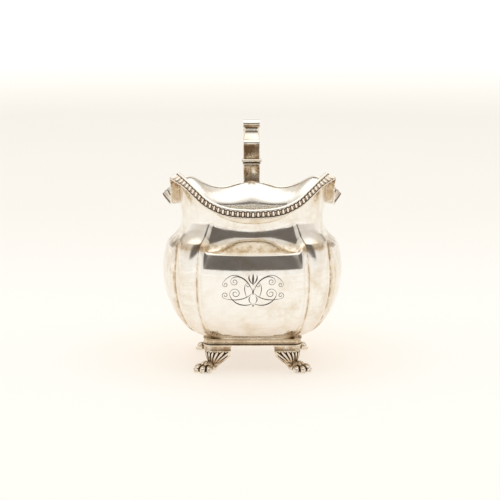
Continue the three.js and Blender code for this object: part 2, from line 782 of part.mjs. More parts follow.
const MITRE = JOINT_GAP / 2;
addPiece("border_front", borderStrip(-FRONT_CORNER, FRONT_CORNER, MITRE, MITRE), BORDER);
addPiece("border_side_right", borderStrip(FRONT_CORNER, REAR_CORNER, MITRE, MITRE), BORDER);
addPiece("border_side_left", borderStrip(-REAR_CORNER, -FRONT_CORNER, MITRE, MITRE), BORDER);
addPiece("border_back_right", borderStrip(REAR_CORNER, HANDLE_GAP_TURN, MITRE, 0), BORDER);
addPiece("border_back_left", borderStrip(-HANDLE_GAP_TURN, -REAR_CORNER, 0, MITRE), BORDER);

addPiece("handle_root", handleRoot(), POLISHED);
addPiece("handle_collar", handleCollar(), POLISHED);
addPiece("handle_post", handlePost(), POLISHED);
addPiece("handle_knuckle", handleKnuckle(), POLISHED);
addPiece("handle_throat", handleThroat(), POLISHED);
addPiece("handle_thumb_scroll", handleScroll(), POLISHED);
addPiece("handle_loop", handleLoop(), POLISHED);
addPiece("handle_tail_scroll", handleTail(), POLISHED);
addPiece("handle_lower_pad", handleLowerPad(), POLISHED);

const CORNERS = { front_right: 0, back_right: 1, back_left: 2, front_left: 3 };
for (const [corner, quarter] of Object.entries(CORNERS)) {
  const pieces = { plate: footPlate(), bracket: footBracket(), paw: footPaw() };
  for (const [piece, geometry] of Object.entries(pieces)) {
    addPiece(`foot_${corner}_${piece}`, geometry.rotateZ((Math.PI / 2) * quarter), CAST);
  }
}

// The origin is the middle of the jug's footprint, spout tip to handle, on the table.
const extent = new THREE.Box3().setFromObject(group);
for (const mesh of group.children) {
  mesh.geometry.translate(0, -(extent.min.y + extent.max.y) / 2, -extent.min.z);
}

export default group;
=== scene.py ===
import math

import bpy
import numpy as np
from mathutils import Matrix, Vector
from mathutils.bvhtree import BVHTree


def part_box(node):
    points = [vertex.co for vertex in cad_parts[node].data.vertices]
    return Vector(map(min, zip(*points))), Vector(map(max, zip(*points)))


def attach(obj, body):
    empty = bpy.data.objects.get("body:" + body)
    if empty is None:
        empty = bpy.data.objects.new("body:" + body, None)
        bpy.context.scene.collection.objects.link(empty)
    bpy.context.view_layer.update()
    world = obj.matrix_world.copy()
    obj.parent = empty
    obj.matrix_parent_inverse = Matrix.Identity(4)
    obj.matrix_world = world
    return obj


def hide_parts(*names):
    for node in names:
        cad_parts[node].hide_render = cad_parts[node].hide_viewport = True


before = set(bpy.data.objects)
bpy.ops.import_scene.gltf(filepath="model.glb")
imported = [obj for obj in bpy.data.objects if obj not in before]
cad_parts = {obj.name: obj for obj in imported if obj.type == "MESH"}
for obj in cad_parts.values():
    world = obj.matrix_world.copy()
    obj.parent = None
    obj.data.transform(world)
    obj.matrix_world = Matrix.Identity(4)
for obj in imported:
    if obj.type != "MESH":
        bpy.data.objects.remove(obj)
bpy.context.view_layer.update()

MM = 0.001
_band_low, _band_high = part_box("base_band")
CENTRE_Y = (_band_low.y + _band_high.y) / 2  # the jug's axis in the model's frame, in metres

# ---------- driving sizes, in millimetres ----------
WALL = 1.1  # gauge of the raised body
BASE_UNDERSIDE = 13.3  # height of the base band's lower edge
BAND_HEIGHT = 3.6
BODY_FLOOR = BASE_UNDERSIDE + BAND_HEIGHT + 0.05
NECK_HEIGHT = 75.4  # the narrowest level of the neck
SHOULDER = 62.4
LOBE_LIFT = 4.3  # how far the shoulder climbs from a panel to the corner lobe beside it
LIFT_START = 54.0  # the wall below this height is not raised with the shoulder
NECK_DIP = 0.3  # how far the neck dips at the middle of the spout
NECK_SWAY = 4.8  # how much higher the neck stands at the front corners than in that dip
BORDER_UNDERSIDE = 0.45  # how far the border's underside lies below the rim's inner edge
WALL_TUCK = 1.25  # how far out under the border the wall's outer face ends
CORNER_DROP = 0.55  # the wall stands lower where two borders are mitred
TONGUE_PITCH = 2.35
STRAP_WIDTH = 8.6  # of the handle
PANEL_END = 0.915  # share of a panel's half width at which it rolls over towards the crease
ROLL_SHARE = 0.27  # how much of the panel's fall to the crease lies in that roll
FLARE_OUT = 0.12  # the wall above the neck first climbs by FLARE_UP of its rise...
FLARE_UP = 0.6  # ...while it moves out by only FLARE_OUT of its reach

# The vessel's plan at each height: z, half width at a panel's middle, how far across and how far out the
# crease beside the corner lobe lies, and how much the lobe bulges.
LEVELS = np.array([
    (17.6, 25.0, 20.2, 24.0, 0.7),
    (18.6, 28.6, 20.8, 26.2, 1.0),
    (20.6, 32.8, 22.2, 29.2, 1.5),
    (24.0, 36.8, 23.9, 32.0, 2.1),
    (28.5, 40.2, 25.3, 34.3, 2.6),
    (34.2, 42.8, 26.5, 36.1, 3.1),
    (41.0, 44.6, 27.2, 37.4, 3.4),
    (49.2, 45.3, 27.4, 38.0, 3.5),
    (55.2, 44.8, 27.1, 37.7, 3.4),
    (59.8, 43.8, 26.3, 36.9, 3.15),
    (SHOULDER, 43.0, 25.4, 36.2, 2.95),
    (63.9, 41.0, 24.3, 35.3, 2.2),
    (66.0, 38.9, 22.9, 34.3, 1.9),
    (68.4, 37.2, 21.8, 33.8, 2.0),
    (71.4, 36.0, 20.9, 33.5, 2.3),
    (NECK_HEIGHT, 35.5, 20.4, 33.4, 2.6),
])
SHOULDER_ROW = 10  # of LEVELS: the curve up the belly ends there and the neck's begins

# The rim's inner edge on the jug's right side: turn, x, y, z, the compass direction in which the border leans
# out, how far it leans down, and its width. Turn 0 is the spout, 2 the front corner, 6 the rear corner and
# 8 the handle.
RIM = np.array([
    (0.00, 0.0, -50.0, 85.6, 0, 57, 4.8),
    (0.40, 9.7, -48.9, 86.1, 12, 56, 4.8),
    (0.65, 15.5, -46.8, 87.3, 21, 53, 4.8),
    (0.90, 21.4, -42.9, 89.9, 32, 48, 4.8),
    (1.18, 26.0, -38.5, 93.5, 43, 42, 4.8),
    (1.57, 30.6, -33.0, 97.1, 54, 34, 4.8),
    (2.00, 35.2, -26.0, 100.0, 66, 24, 6.1),
    (2.45, 35.3, -21.6, 96.4, 78, 30, 5.7),
    (3.05, 35.3, -15.5, 90.6, 86, 26, 5.8),
    (3.42, 35.4, -9.0, 85.6, 89, 19, 5.8),
    (3.80, 35.8, -2.0, 82.5, 88, 12, 5.6),
    (4.20, 37.2, 6.0, 81.8, 87, 14, 5.2),
    (4.80, 39.6, 16.0, 82.4, 92, 20, 4.8),
    (6.00, 42.4, 30.0, 84.2, 122, 27, 6.0),
    (6.35, 38.0, 36.6, 88.0, 142, 28, 4.8),
    (6.60, 33.0, 40.2, 89.8, 154, 28, 4.8),
    (7.00, 26.1, 42.4, 86.4, 166, 28, 4.8),
    (7.25, 20.1, 43.5, 84.1, 172, 28, 4.8),
    (7.50, 14.1, 44.1, 83.7, 176, 28, 4.8),
    (7.75, 7.5, 44.4, 85.4, 178, 28, 4.8),
    (8.00, 0.0, 44.5, 87.5, 180, 28, 4.8),
])
FRONT_CORNER = 2.0
REAR_CORNER = 6.0
HANDLE_TURN = 8.0
HANDLE_GAP_TURN = 7.8  # the back borders end here, beside the handle


# ---------- small mathematics ----------

def smoothstep(x, low, high):
    t = min(max((x - low) / (high - low), 0.0), 1.0)
    return t * t * (3 - 2 * t)


def unit(v):
    return v / np.linalg.norm(v)


def smooth_row(rows, at, first=0, last=None):
    """Every field of a table at one place: a cubic through all its rows."""
    last = len(rows) - 1 if last is None else last
    i = first
    while i < last - 1 and at > rows[i + 1][0]:
        i += 1
    span = rows[i + 1][0] - rows[i][0]
    t = min(max((at - rows[i][0]) / span, 0.0), 1.0)

    def slope(n):
        a, b = rows[max(first, n - 1)], rows[min(last, n + 1)]
        return (b - a) / (b[0] - a[0])

    leave, arrive = slope(i) * span, slope(i + 1) * span
    start = (2 * t**3 - 3 * t**2 + 1) * rows[i] + (t**3 - 2 * t**2 + t) * leave
    return start + (3 * t**2 - 2 * t**3) * rows[i + 1] + (t**3 - t**2) * arrive


def soften(rows, middle, reach, times):
    """Rounds a lofted surface near one of its rows by averaging each row with its neighbours."""
    for _ in range(times):
        before = [row.copy() for row in rows]
        for i in range(max(1, middle - reach), min(len(rows) - 1, middle + reach + 1)):
            rows[i] = (before[i - 1] + 2 * before[i] + before[i + 1]) / 4


def run_along(points):
    """The distance run along a line, at each of its points."""
    return np.concatenate([[0], np.cumsum(np.linalg.norm(np.diff(points, axis=0), axis=1))])


# ---------- mesh making ----------

def to_frame(points):
    """Jug millimetres to the model's metres."""
    moved = np.asarray(points, float) * MM
    moved[:, 1] += CENTRE_Y
    return moved


def placed(name, data):
    """A new object in the scene."""
    thing = bpy.data.objects.new(name, data)
    bpy.context.scene.collection.objects.link(thing)
    return thing


def write_attribute(mesh, name, numbers):
    """Stores a number for each point, for the materials to read."""
    layer = mesh.attributes.new(name, "FLOAT", "POINT")
    layer.data.foreach_set("value", np.asarray(numbers, np.float32))


def new_piece(name, shape, material, tarnish_and_shade=()):
    """A smooth-shaded object from points and faces, with a share of brown for each point."""
    points, faces = shape
    mesh = bpy.data.meshes.new(name)
    mesh.from_pydata(to_frame(points).tolist(), [], facing_out(points, faces))
    mesh.update()
    if len(tarnish_and_shade):
        write_attribute(mesh, "tarnish_and_shade", tarnish_and_shade)
    mesh.shade_smooth()
    mesh.materials.append(material)
    return placed(name, mesh)


def band(count, lower, upper):
    """The faces between two closed loops, whose points start at the given numbers."""
    steps = [(i, (i + 1) % count) for i in range(count)]
    return [(lower + i, lower + j, upper + j, upper + i) for i, j in steps]


def bands(rows):
    """The faces between each loop of a list and the next."""
    count = len(rows[0])
    return [face for r in range(len(rows) - 1) for face in band(count, r * count, (r + 1) * count)]


def loft(rows):
    """Points and faces of a solid through closed loops, capped by a fan at either end."""
    count = len(rows[0])
    points = [tuple(p) for row in rows for p in row]
    faces = bands(rows)
    for row, base in ((rows[0], 0), (rows[-1], (len(rows) - 1) * count)):
        middle = len(points)
        points.append(tuple(np.mean(row, axis=0)))
        for i in range(count):
            j = (i + 1) % count
            faces.append((middle, base + i, base + j) if base else (middle, j, i))
    return np.array(points), faces


def loft_round(rows):
    """A ring-shaped solid: the last loop joins back to the first."""
    count = len(rows[0])
    return np.concatenate(rows), bands(rows) + band(count, (len(rows) - 1) * count, 0)


def circle(count):
    """Cosine and sine at equal steps round a circle."""
    return [(math.cos(a), math.sin(a)) for a in (2 * math.pi * n / count for n in range(count))]


def drawn_in(outline, middle, draw):
    """An outline moved towards its middle by one distance all round."""
    away = outline - middle
    return outline - away / np.linalg.norm(away, axis=1)[:, None] * draw


def rounded_corners(w, h, radius, steps):
    """The four rounded corners of a rectangle, anticlockwise, each a list of points."""
    corners = []
    for sx, sy in ((1, 1), (-1, 1), (-1, -1), (1, -1)):
        arc = []
        for a in np.linspace(0, math.pi / 2, steps):
            arc.append((sx * (w - radius + radius * math.cos(a)), sy * (h - radius + radius * math.sin(a))))
        corners.append(arc if sx * sy > 0 else arc[::-1])
    return corners


def facing_out(points, faces):
    """Turns every face over if the closed surface is inside out."""
    fans = np.array([(face[0], face[n], face[n + 1]) for face in faces for n in range(1, len(face) - 1)])
    a, b, c = (np.asarray(points)[fans[:, n]] for n in range(3))
    volume = np.sum(a * np.cross(b, c))
    return faces if volume > 0 else [tuple(reversed(face)) for face in faces]


def joined(shells):
    """Several closed shells as one set of points and faces."""
    points, faces, start = [], [], 0
    for shell_points, shell_faces in shells:
        shell_faces = facing_out(shell_points, shell_faces)
        points.append(shell_points)
        faces += [tuple(n + start for n in face) for face in shell_faces]
        start += len(shell_points)
    return np.concatenate(points), faces


def hemisphere():
    """Directions spread over a hemisphere, in three rings round its axis."""
    rays = []
    for ring, (tilt, count) in enumerate(((25, 4), (50, 6), (72, 6))):
        lean = math.radians(tilt)
        for n in range(count):
            turn = 2 * math.pi * (n + 0.5 * ring) / count
            rays.append((math.sin(lean) * math.cos(turn), math.sin(lean) * math.sin(turn), math.cos(lean)))
    return rays


RAYS = hemisphere()
RAY_START = 0.02  # the share of a ray's reach at which it starts, clear of the surface
CLOSED_IN = 6.0  # the weight of blocked rays that counts as wholly closed in


def mark_recesses(piece, reach, kept=1.0):
    """Writes how closed in each point is, by casting short rays round its normal, as an attribute: baked
    occlusion that the materials paint as shade, together with the oxide silver gathers in hollows.

    reach is the rays' length in millimetres; kept is the share of that painted shade and oxide that is left,
    for the whole piece or point by point.
    """
    mesh = piece.data
    tree = BVHTree.FromPolygons([v.co for v in mesh.vertices], [p.vertices for p in mesh.polygons])
    far = reach * MM
    closed = np.zeros(len(mesh.vertices))
    for n, vertex in enumerate(mesh.vertices):
        normal = vertex.normal
        side = normal.orthogonal().normalized()
        other = normal.cross(side)
        start = vertex.co + normal * far * RAY_START
        blocked = 0.0
        for x, y, z in RAYS:
            hit = tree.ray_cast(start, side * x + other * y + normal * z, far)
            if hit[0] is not None:
                blocked += z * (1 - hit[3] / far)
        closed[n] = blocked / CLOSED_IN
    write_attribute(mesh, "recess", closed.clip(0, 1) * kept)


def stands_for(piece, node):
    """Hands a finished piece to the frame in place of a CAD node."""
    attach(piece, "root")
    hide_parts(node)


# ---------- materials ----------

class Nodes:
    """A short way to write a node tree."""

    def __init__(self, name):
        self.material = bpy.data.materials.new(name)
        self.material.use_nodes = True
        self.tree = self.material.node_tree
        self.shader = self.tree.nodes["Principled BSDF"]

    def plug(self, node, inputs):
        """Links sockets and sets numbers and colours, by the name or number of each input."""
        for key, value in inputs.items():
            if isinstance(value, bpy.types.NodeSocket):
                self.tree.links.new(value, node.inputs[key])
            else:
                node.inputs[key].default_value = value

    def add(self, kind, inputs=None, **settings):
        node = self.tree.nodes.new(kind)
        for key, value in settings.items():
            setattr(node, key, value)
        self.plug(node, inputs or {})
        return node

    def noise(self, scale, detail=4.0, roughness=0.5, stretch=(1, 1, 1), spin=(0, 0, 0)):
        place = self.add("ShaderNodeTexCoord").outputs["Object"]
        mapping = self.add("ShaderNodeMapping", {"Vector": place, "Scale": stretch, "Rotation": spin})
        inputs = {"Vector": mapping.outputs[0], "Scale": scale, "Detail": detail, "Roughness": roughness}
        return self.add("ShaderNodeTexNoise", inputs).outputs["Fac"]

    def between(self, value, low, high, new_low=0.0, new_high=1.0):
        inputs = {"Value": value, "From Min": low, "From Max": high, "To Min": new_low, "To Max": new_high}
        return self.add("ShaderNodeMapRange", inputs).outputs["Result"]

    def maths(self, operation, a, b):
        return self.add("ShaderNodeMath", {0: a, 1: b}, operation=operation, use_clamp=True).outputs[0]

    def times(self, a, b):
        return self.maths("MULTIPLY", a, b)

    def plus(self, a, b):
        return self.maths("ADD", a, b)

    def mix(self, factor, a, b):
        return self.add("ShaderNodeMix", {0: factor, 6: a, 7: b}, data_type="RGBA").outputs[2]

    def attribute(self, name):
        return self.add("ShaderNodeAttribute", attribute_name=name).outputs["Fac"]

    def set(self, **sockets):
        self.plug(self.shader, {key.replace("_", " "): value for key, value in sockets.items()})


CLEAN = (0.955, 0.93, 0.885, 1)
WARM = (0.74, 0.61, 0.44, 1)
BROWN = (0.29, 0.175, 0.095, 1)
BLACK_OXIDE_AND_SHADE = (0.06, 0.042, 0.03, 1)


def silver(name, gloss, tint, blotches, recess_depth, waviness):
    """Silver with uneven tarnishing, dark recesses, small pits, shallow dents and fine wiping scratches. The
    brown share that each point carries is partly tarnishing and partly painted shade and painted reflection;
    the dark recesses are painted shade together with the oxide silver gathers there.

    gloss is its roughness where clean, tint how warm it is all over, blotches how strong its stains are,
    recess_depth how far into a recess the black begins, and waviness the dents' depth in millimetres.
    """
    n = Nodes(name)
    clouds = n.between(n.noise(150, 6, 0.62), 0.44, 0.68)
    regions = n.between(n.noise(38, 3, 0.5, (1, 1, 1.5)), 0.38, 0.62, 0.25, 1.0)
    wiped = n.between(n.noise(90, 6, 0.66, (1, 1, 6), (0.14, 0.10, 0)), 0.50, 0.68)
    pits = n.between(n.noise(1150, 2, 0.5), 0.685, 0.74)
    pitted = n.times(pits, n.between(n.noise(70, 2), 0.5, 0.62))
    worn = n.times(n.maths("MAXIMUM", clouds, n.times(wiped, 0.6)), regions)
    warmth = n.times(worn, blotches)
    colour = n.mix(n.plus(warmth, tint), CLEAN, WARM)

    # The brown share read from each point, broken up by grain: tarnishing in places, painted shade and
    # painted reflection in others.
    grain = n.between(n.noise(210, 7, 0.72, (1, 1, 0.8)), 0.36, 0.62, 0.15, 1.35)
    brown_share = n.times(n.attribute("tarnish_and_shade"), grain)
    browned = n.plus(brown_share, n.times(pitted, 0.55 * blotches))
    colour = n.mix(n.between(browned, 0.0, 0.45), colour, WARM)
    colour = n.mix(n.between(browned, 0.28, 1.0), colour, BROWN)

    # Painted shade in hollows, together with their oxide: the more closed in a point is, the browner and then
    # blacker it is painted.
    recess = n.attribute("recess")
    colour = n.mix(n.between(recess, 0.02, 0.02 + 0.6 * recess_depth), colour, BROWN)
    dark = n.between(recess, 0.08, 0.08 + recess_depth)
    colour = n.mix(dark, colour, BLACK_OXIDE_AND_SHADE)

    rough = n.between(n.noise(340, 4, 0.6), 0.3, 0.75, gloss * 0.75, gloss * 1.5)
    rough = n.plus(rough, n.times(n.plus(brown_share, dark), 0.25))
    rough = n.plus(rough, n.times(warmth, 0.10))

    scratches = n.noise(420, 3, 0.6, (1, 1, 9), (0.4, 0.9, 0.3))
    hairlines = n.noise(520, 2, 0.5, (11, 1, 1), (0.2, 0.35, 0.6))
    dents = n.plus(n.noise(46, 2, 0.4), n.times(n.noise(150, 2, 0.4), 0.16))
    fine = n.plus(n.times(scratches, 0.5), n.times(hairlines, 0.5))
    first = n.add("ShaderNodeBump", {"Height": dents, "Strength": 1.0, "Distance": waviness * MM})
    inputs = {"Height": fine, "Strength": 0.4, "Distance": 0.007 * MM, "Normal": first.outputs["Normal"]}
    second = n.add("ShaderNodeBump", inputs)
    n.set(Base_Color=colour, Metallic=1.0, Roughness=rough, Normal=second.outputs["Normal"])
    return n.material


POLISHED = silver("polished_silver", 0.065, 0.0, 0.66, 0.5, 0.16)
WORN = silver("worn_silver", 0.20, 0.80, 0.6, 0.4, 0.03)
INSIDE = silver("inside_silver", 0.22, 0.0, 0.3, 0.5, 0.10)
BORDER = silver("border_silver", 0.17, 0.12, 0.5, 0.26, 0.02)
CAST = silver("cast_silver", 0.16, 0.30, 0.9, 0.14, 0.02)
STRAP = silver("handle_silver", 0.12, 0.08, 0.8, 0.3, 0.04)
# A cleaner, less warm copy of the handle silver for the knuckle and thumb scroll: a painted highlight that
# makes them show brighter.
HIGHLIGHT_SILVER = silver("highlight_silver", 0.10, 0.0, 0.2, 0.3, 0.03)


def engraving():
    n = Nodes("engraved_line")
    shade = n.mix(n.noise(1500, 3), (0.07, 0.055, 0.045, 1), (0.15, 0.12, 0.095, 1))
    n.set(Base_Color=shade, Metallic=0.3, Roughness=0.6)
    return n.material


ENGRAVED = engraving()


# ---------- the vessel ----------

def plan_eighth(turn, level):
    """Across and out on one eighth of the plan: 0 is a panel's middle, 1 the crease, 2 the lobe's middle."""
    _, half, across, out, lobe = level
    if turn <= 1:
        soft = 0.12
        past = (turn - PANEL_END) / (1 - PANEL_END)
        roll = (math.hypot(past, soft) + past) / (math.hypot(1, soft) + 1)
        fall = half - out
        bow = fall * (1 - ROLL_SHARE) * turn**2
        return across * turn, half - bow - fall * ROLL_SHARE * roll
    share = turn - 1
    corner = (across + out) / 2
    bulge = lobe * (1 - (1 - share) ** 2) / math.sqrt(2)
    return across + (corner - across) * share + bulge, out + (corner - out) * share + bulge


def plan_point(turn, level):
    side = -1 if turn < 0 else 1
    around = abs(turn)
    quarter = min(int((around + 2) // 4), 2)
    offset = around - quarter * 4
    across, out = plan_eighth(abs(offset), level)
    if offset < 0:
        across = -across
    x, y = ((across, -out), (out, across), (-across, out))[quarter]
    return side * x, y


def panel_offset(turn):
    """How far, in turns, from the middle of the nearest panel."""
    return abs((abs(turn) + 2) % 4 - 2)


def lift_at(turn, z):
    """The shoulder stays level along a panel and climbs at the panel's end to the top of the corner lobe."""
    fading = smoothstep(z, LIFT_START, SHOULDER) * (1 - smoothstep(z, SHOULDER + 1, SHOULDER + 10))
    return LOBE_LIFT * smoothstep(panel_offset(turn), 0.86, 1.04) * fading


def level_at(z):
    if z <= SHOULDER:
        return smooth_row(LEVELS, z, 0, SHOULDER_ROW)
    return smooth_row(LEVELS, z, SHOULDER_ROW, len(LEVELS) - 1)


def neck_sway(turn, z):
    """The neck dips at the middle of the spout, and its rise at the front corners fades behind them."""
    around = abs(turn)
    height = NECK_SWAY * min(around, 1.0) ** 2 - NECK_DIP
    fading = 1 - smoothstep(around, FRONT_CORNER, FRONT_CORNER + 1)
    return height * fading * smoothstep(z, SHOULDER + 0.8, SHOULDER + 8)


def vessel_point(turn, z, level, inset):
    thin = level - np.array([0, inset, inset / 2, inset, 0])
    x, y = plan_point(turn, thin)
    return np.array([x, y, z + lift_at(turn, z) + neck_sway(turn, z)])


def rim_frame(turn):
    """The rim's inner edge, its outward direction and its width."""
    around, side = abs(turn), -1 if turn < 0 else 1
    stops = [int(np.argmin(abs(RIM[:, 0] - t))) for t in (0, FRONT_CORNER, REAR_CORNER, HANDLE_TURN)]
    part = 0 if around <= FRONT_CORNER else 1 if around <= REAR_CORNER else 2
    _, x, y, z, face, droop, wide = smooth_row(RIM, around, stops[part], stops[part + 1])
    face, droop = math.radians(face), math.radians(droop)
    out = np.array([side * math.sin(face), -math.cos(face), 0]) * math.cos(droop)
    out[2] = -math.sin(droop)
    return np.array([side * x, y, z]), out, wide


def strip_limits(turn):
    around = abs(turn)
    if around < FRONT_CORNER:
        return -FRONT_CORNER, FRONT_CORNER
    low, high = (FRONT_CORNER, REAR_CORNER) if around < REAR_CORNER else (REAR_CORNER, HANDLE_TURN)
    return (-high, -low) if turn < 0 else (low, high)


def upward(turn, low, high):
    """The direction out of the border's face, from the rim's run between two limits."""
    step = 0.02
    along = rim_frame(min(turn + step, high))[0] - rim_frame(max(turn - step, low))[0]
    up = unit(np.cross(along, rim_frame(turn)[1]))
    return up if up[2] > 0 else -up


def corner_up(turn):
    """At a corner both borders use the direction half way between their own, so that they mitre."""
    return unit(sum(upward(turn, *strip_limits(turn + step)) for step in (-0.1, 0.1)))


CORNER_UPS = {turn: corner_up(turn) for turn in (FRONT_CORNER, REAR_CORNER, -FRONT_CORNER, -REAR_CORNER)}
MITRE_REACH = 0.16  # in turns: how far from a corner a border starts to twist into the mitre


def rim_axes(turn, limits):
    """Edge point, outward, upward, width and how near a mitre it is, from 0 to 1."""
    edge, out, wide = rim_frame(turn)
    up = upward(turn, *limits)
    near = 0.0
    for corner, mitred in CORNER_UPS.items():
        gap = abs(turn - corner)
        if gap < MITRE_REACH:
            near = 1 - smoothstep(gap, 0, MITRE_REACH)
            up = unit(up * (1 - near) + mitred * near)
    return edge, out, up, wide, near


def wall_top(turn, inset):
    edge, out, up, _, near = rim_axes(turn, strip_limits(turn))
    drop = BORDER_UNDERSIDE - 0.1 + CORNER_DROP * near
    return edge + out * (WALL_TUCK - inset) - up * drop


def ring_turns():
    """Turns round the whole vessel, close together at the rolls and creases."""
    panel = [*np.linspace(0, 0.84, 12), 0.87, 0.89, 0.905, 0.92, 0.935, 0.95, 0.965, 0.98, 0.99]
    lobe = [1, 1.015, 1.04, 1.08, 1.14, 1.22, 1.31, 1.41, 1.52, 1.64, 1.76, 1.88, 2]
    eighth = np.array(panel + lobe)
    right = sorted({round(float(t), 5) for t in np.concatenate([eighth, 4 - eighth, 4 + eighth, 8 - eighth])})
    left = [-t for t in reversed(right) if 0 < t < HANDLE_TURN]
    return right + left


def crease_distance(turn):
    """How far, in turns, from the nearest crease."""
    return abs(panel_offset(turn) - 1)


def body_heights():
    """Heights up the body, close together at its foot and over the shoulder."""
    foot = np.linspace(BODY_FLOOR, 22, 11)
    belly = np.linspace(22.8, 57, 40)
    under_shoulder = np.linspace(57.7, 61.9, 9)
    over_shoulder = np.linspace(62.9, 66, 12)
    neck = np.linspace(66.4, NECK_HEIGHT, 20)
    return [*foot, *belly, *under_shoulder, 62.2, SHOULDER, 62.6, *over_shoulder, *neck]


def body_wall(turns, inset, heights, shares):
    """Rows of points up one face of the wall, from the floor to the rim."""
    rows = []
    for z in heights:
        level = level_at(z)
        rows.append(np.array([vessel_point(t, z, level, inset) for t in turns]))
    neck = rows[-1]
    top = np.array([wall_top(t, inset) for t in turns])
    reach = top - neck
    bend = neck + reach * np.array([FLARE_OUT, FLARE_OUT, FLARE_UP])
    for s in shares:
        rows.append((1 - s) ** 2 * neck + 2 * s * (1 - s) * bend + s**2 * top)
    soften(rows, len(heights) - 1, 8, 10)
    shoulder = min(range(len(heights)), key=lambda i: abs(heights[i] - SHOULDER))
    soften(rows, shoulder, 2, 2)
    return rows


def body_tarnish_and_shade(turn, point):
    """Brown in the creases, round the foot of the body, above the shoulder, under the front corners and on
    the flanks. The flanks' brown is painted shade; the band above the shoulder is partly tarnishing and
    partly a painted reflection of the warm, dim room above.
    """
    x, z = point[0], point[2]
    aside = crease_distance(turn)
    near_crease = math.exp(-((aside / 0.03) ** 2)) * smoothstep(z, 15, 30)
    panel_edge = math.exp(-(((aside - (1 - PANEL_END)) / 0.012) ** 2))
    lines = (0.5 * near_crease + 0.12 * panel_edge) * (1 - smoothstep(z, SHOULDER - 2, NECK_HEIGHT - 4))
    foot = 0.16 * (1 - smoothstep(z, BODY_FLOOR, 33))
    corner_foot = 0.8 * math.exp(-((aside / 0.15) ** 2)) * (1 - smoothstep(z, 18, 27))
    # Partly tarnishing and partly a painted reflection of the warm room above: a brown band just over the
    # shoulder.
    over_shoulder = smoothstep(z, SHOULDER + 0.4, SHOULDER + 1.2) * (1 - smoothstep(z, 65, 69))
    under_neck = (0.375 + 0.2 * (1 - aside) ** 4) * over_shoulder
    neck = 0.03 * smoothstep(z, SHOULDER, 70)
    # Painted shade: the flanks turn browner towards the jug's sides.
    flank = 0.20 * smoothstep(abs(x), 26, 40)
    ear = 0.85 * math.exp(-(((abs(turn) - FRONT_CORNER - 0.1) / 0.3) ** 2)) * smoothstep(z, 82, 93)
    return min(1.0, lines + foot + corner_foot + under_neck + neck + flank + ear)


def body_shell():
    turns = ring_turns()
    heights = body_heights()
    outside = body_wall(turns, 0, heights, np.linspace(0.045, 1, 24))
    low_inside = [z for z in heights[::2] if z > BODY_FLOOR + WALL] + [NECK_HEIGHT]
    inside = body_wall(turns, WALL, low_inside, np.linspace(0.06, 1, 14))
    floor = inside[0] * np.array([1, 1, 0]) + np.array([0, 0, BODY_FLOOR + WALL])
    floors = [floor * np.array([s, s, 1]) for s in (0.3, 0.6, 0.85, 0.97)]
    rows = outside + inside[::-1] + floors[::-1]
    brown_share = [body_tarnish_and_shade(t, p) for row in outside for t, p in zip(turns, row)]
    brown_share += [0.0] * (len(turns) * (len(rows) - len(outside)) + 2)
    piece = new_piece("jug_body", loft(rows), POLISHED, brown_share)
    piece.data.materials.append(INSIDE)
    first_inside, first_cap = (len(turns) * (len(part) - 1) for part in (outside, rows))
    for polygon in piece.data.polygons:
        polygon.material_index = int(first_inside <= polygon.index < first_cap)
    stands_for(piece, "body_shell")


# ---------- the gadrooned borders ----------

# Where a tongue is cut across, as shares of the pitch from its middle: close together at its edges.
TONGUE_PHASES = (-0.5, -0.45, -0.4, -0.345, -0.3, -0.24, -0.13, 0, 0.13, 0.24, 0.3, 0.345, 0.4, 0.45)
PLAIN_END = 1.5  # the tongues stop this far from a mitre
BEAD_END = 1.75  # the polished bead's width along the inner edge
LIP_WIDTH = 0.6  # the plain edge outside the tongues


def tongue_height(phase, place):
    """Height over one tongue and half gap: phase -0.5 to 0.5 along the rim, place 0 to 1 across it."""
    rounded_end = math.sqrt(max(0.0, 1 - max(0.0, (place - 0.78) / 0.22) ** 2))
    half = 0.325 * (0.25 + 0.75 * rounded_end) * (0.82 + 0.18 * place)
    rise = smoothstep(place, -0.02, 0.12) * (1 - smoothstep(place, 0.93, 1.0))
    tongue = 0.82 * math.sqrt(max(0.0, 1 - (phase / half) ** 2)) * rise
    from_dart = (0.5 - abs(phase)) / 0.065
    dart = 0.42 * max(0.0, 1 - from_dart) * smoothstep(place, 0.3, 0.9)
    return max(tongue, dart)


def border_section(phase, wide, plain):
    """Across and height round the border's section, from the underside's inner edge."""
    section = [(0.0, -BORDER_UNDERSIDE), (-0.02, -0.1)]
    for n in range(9):
        angle = math.pi * (1 - n / 8)
        section.append((0.86 + 0.86 * math.cos(angle), 0.08 + 0.62 * math.sin(angle)))
    span = wide - LIP_WIDTH - BEAD_END
    for place in (0.0, 0.06, 0.12, 0.25, 0.4, 0.55, 0.68, 0.78, 0.85, 0.9, 0.95, 1.0):
        carved = tongue_height(phase, place)
        height = 0.04 + carved * (1 - plain) + 0.5 * plain * smoothstep(place, 0, 0.1)
        section.append((BEAD_END + span * place, height))
    lip = 0.096 * math.cos(2 * math.pi * phase)
    outer = [(-0.42, 0.16), (-0.22, 0.34), (-0.05, 0.26), (lip, 0.08), (lip, -0.28), (-0.06, -0.42)]
    section += [(wide + a, h) for a, h in outer]
    section += [(wide * s, -BORDER_UNDERSIDE) for s in (0.8, 0.5, 0.3)]
    return section


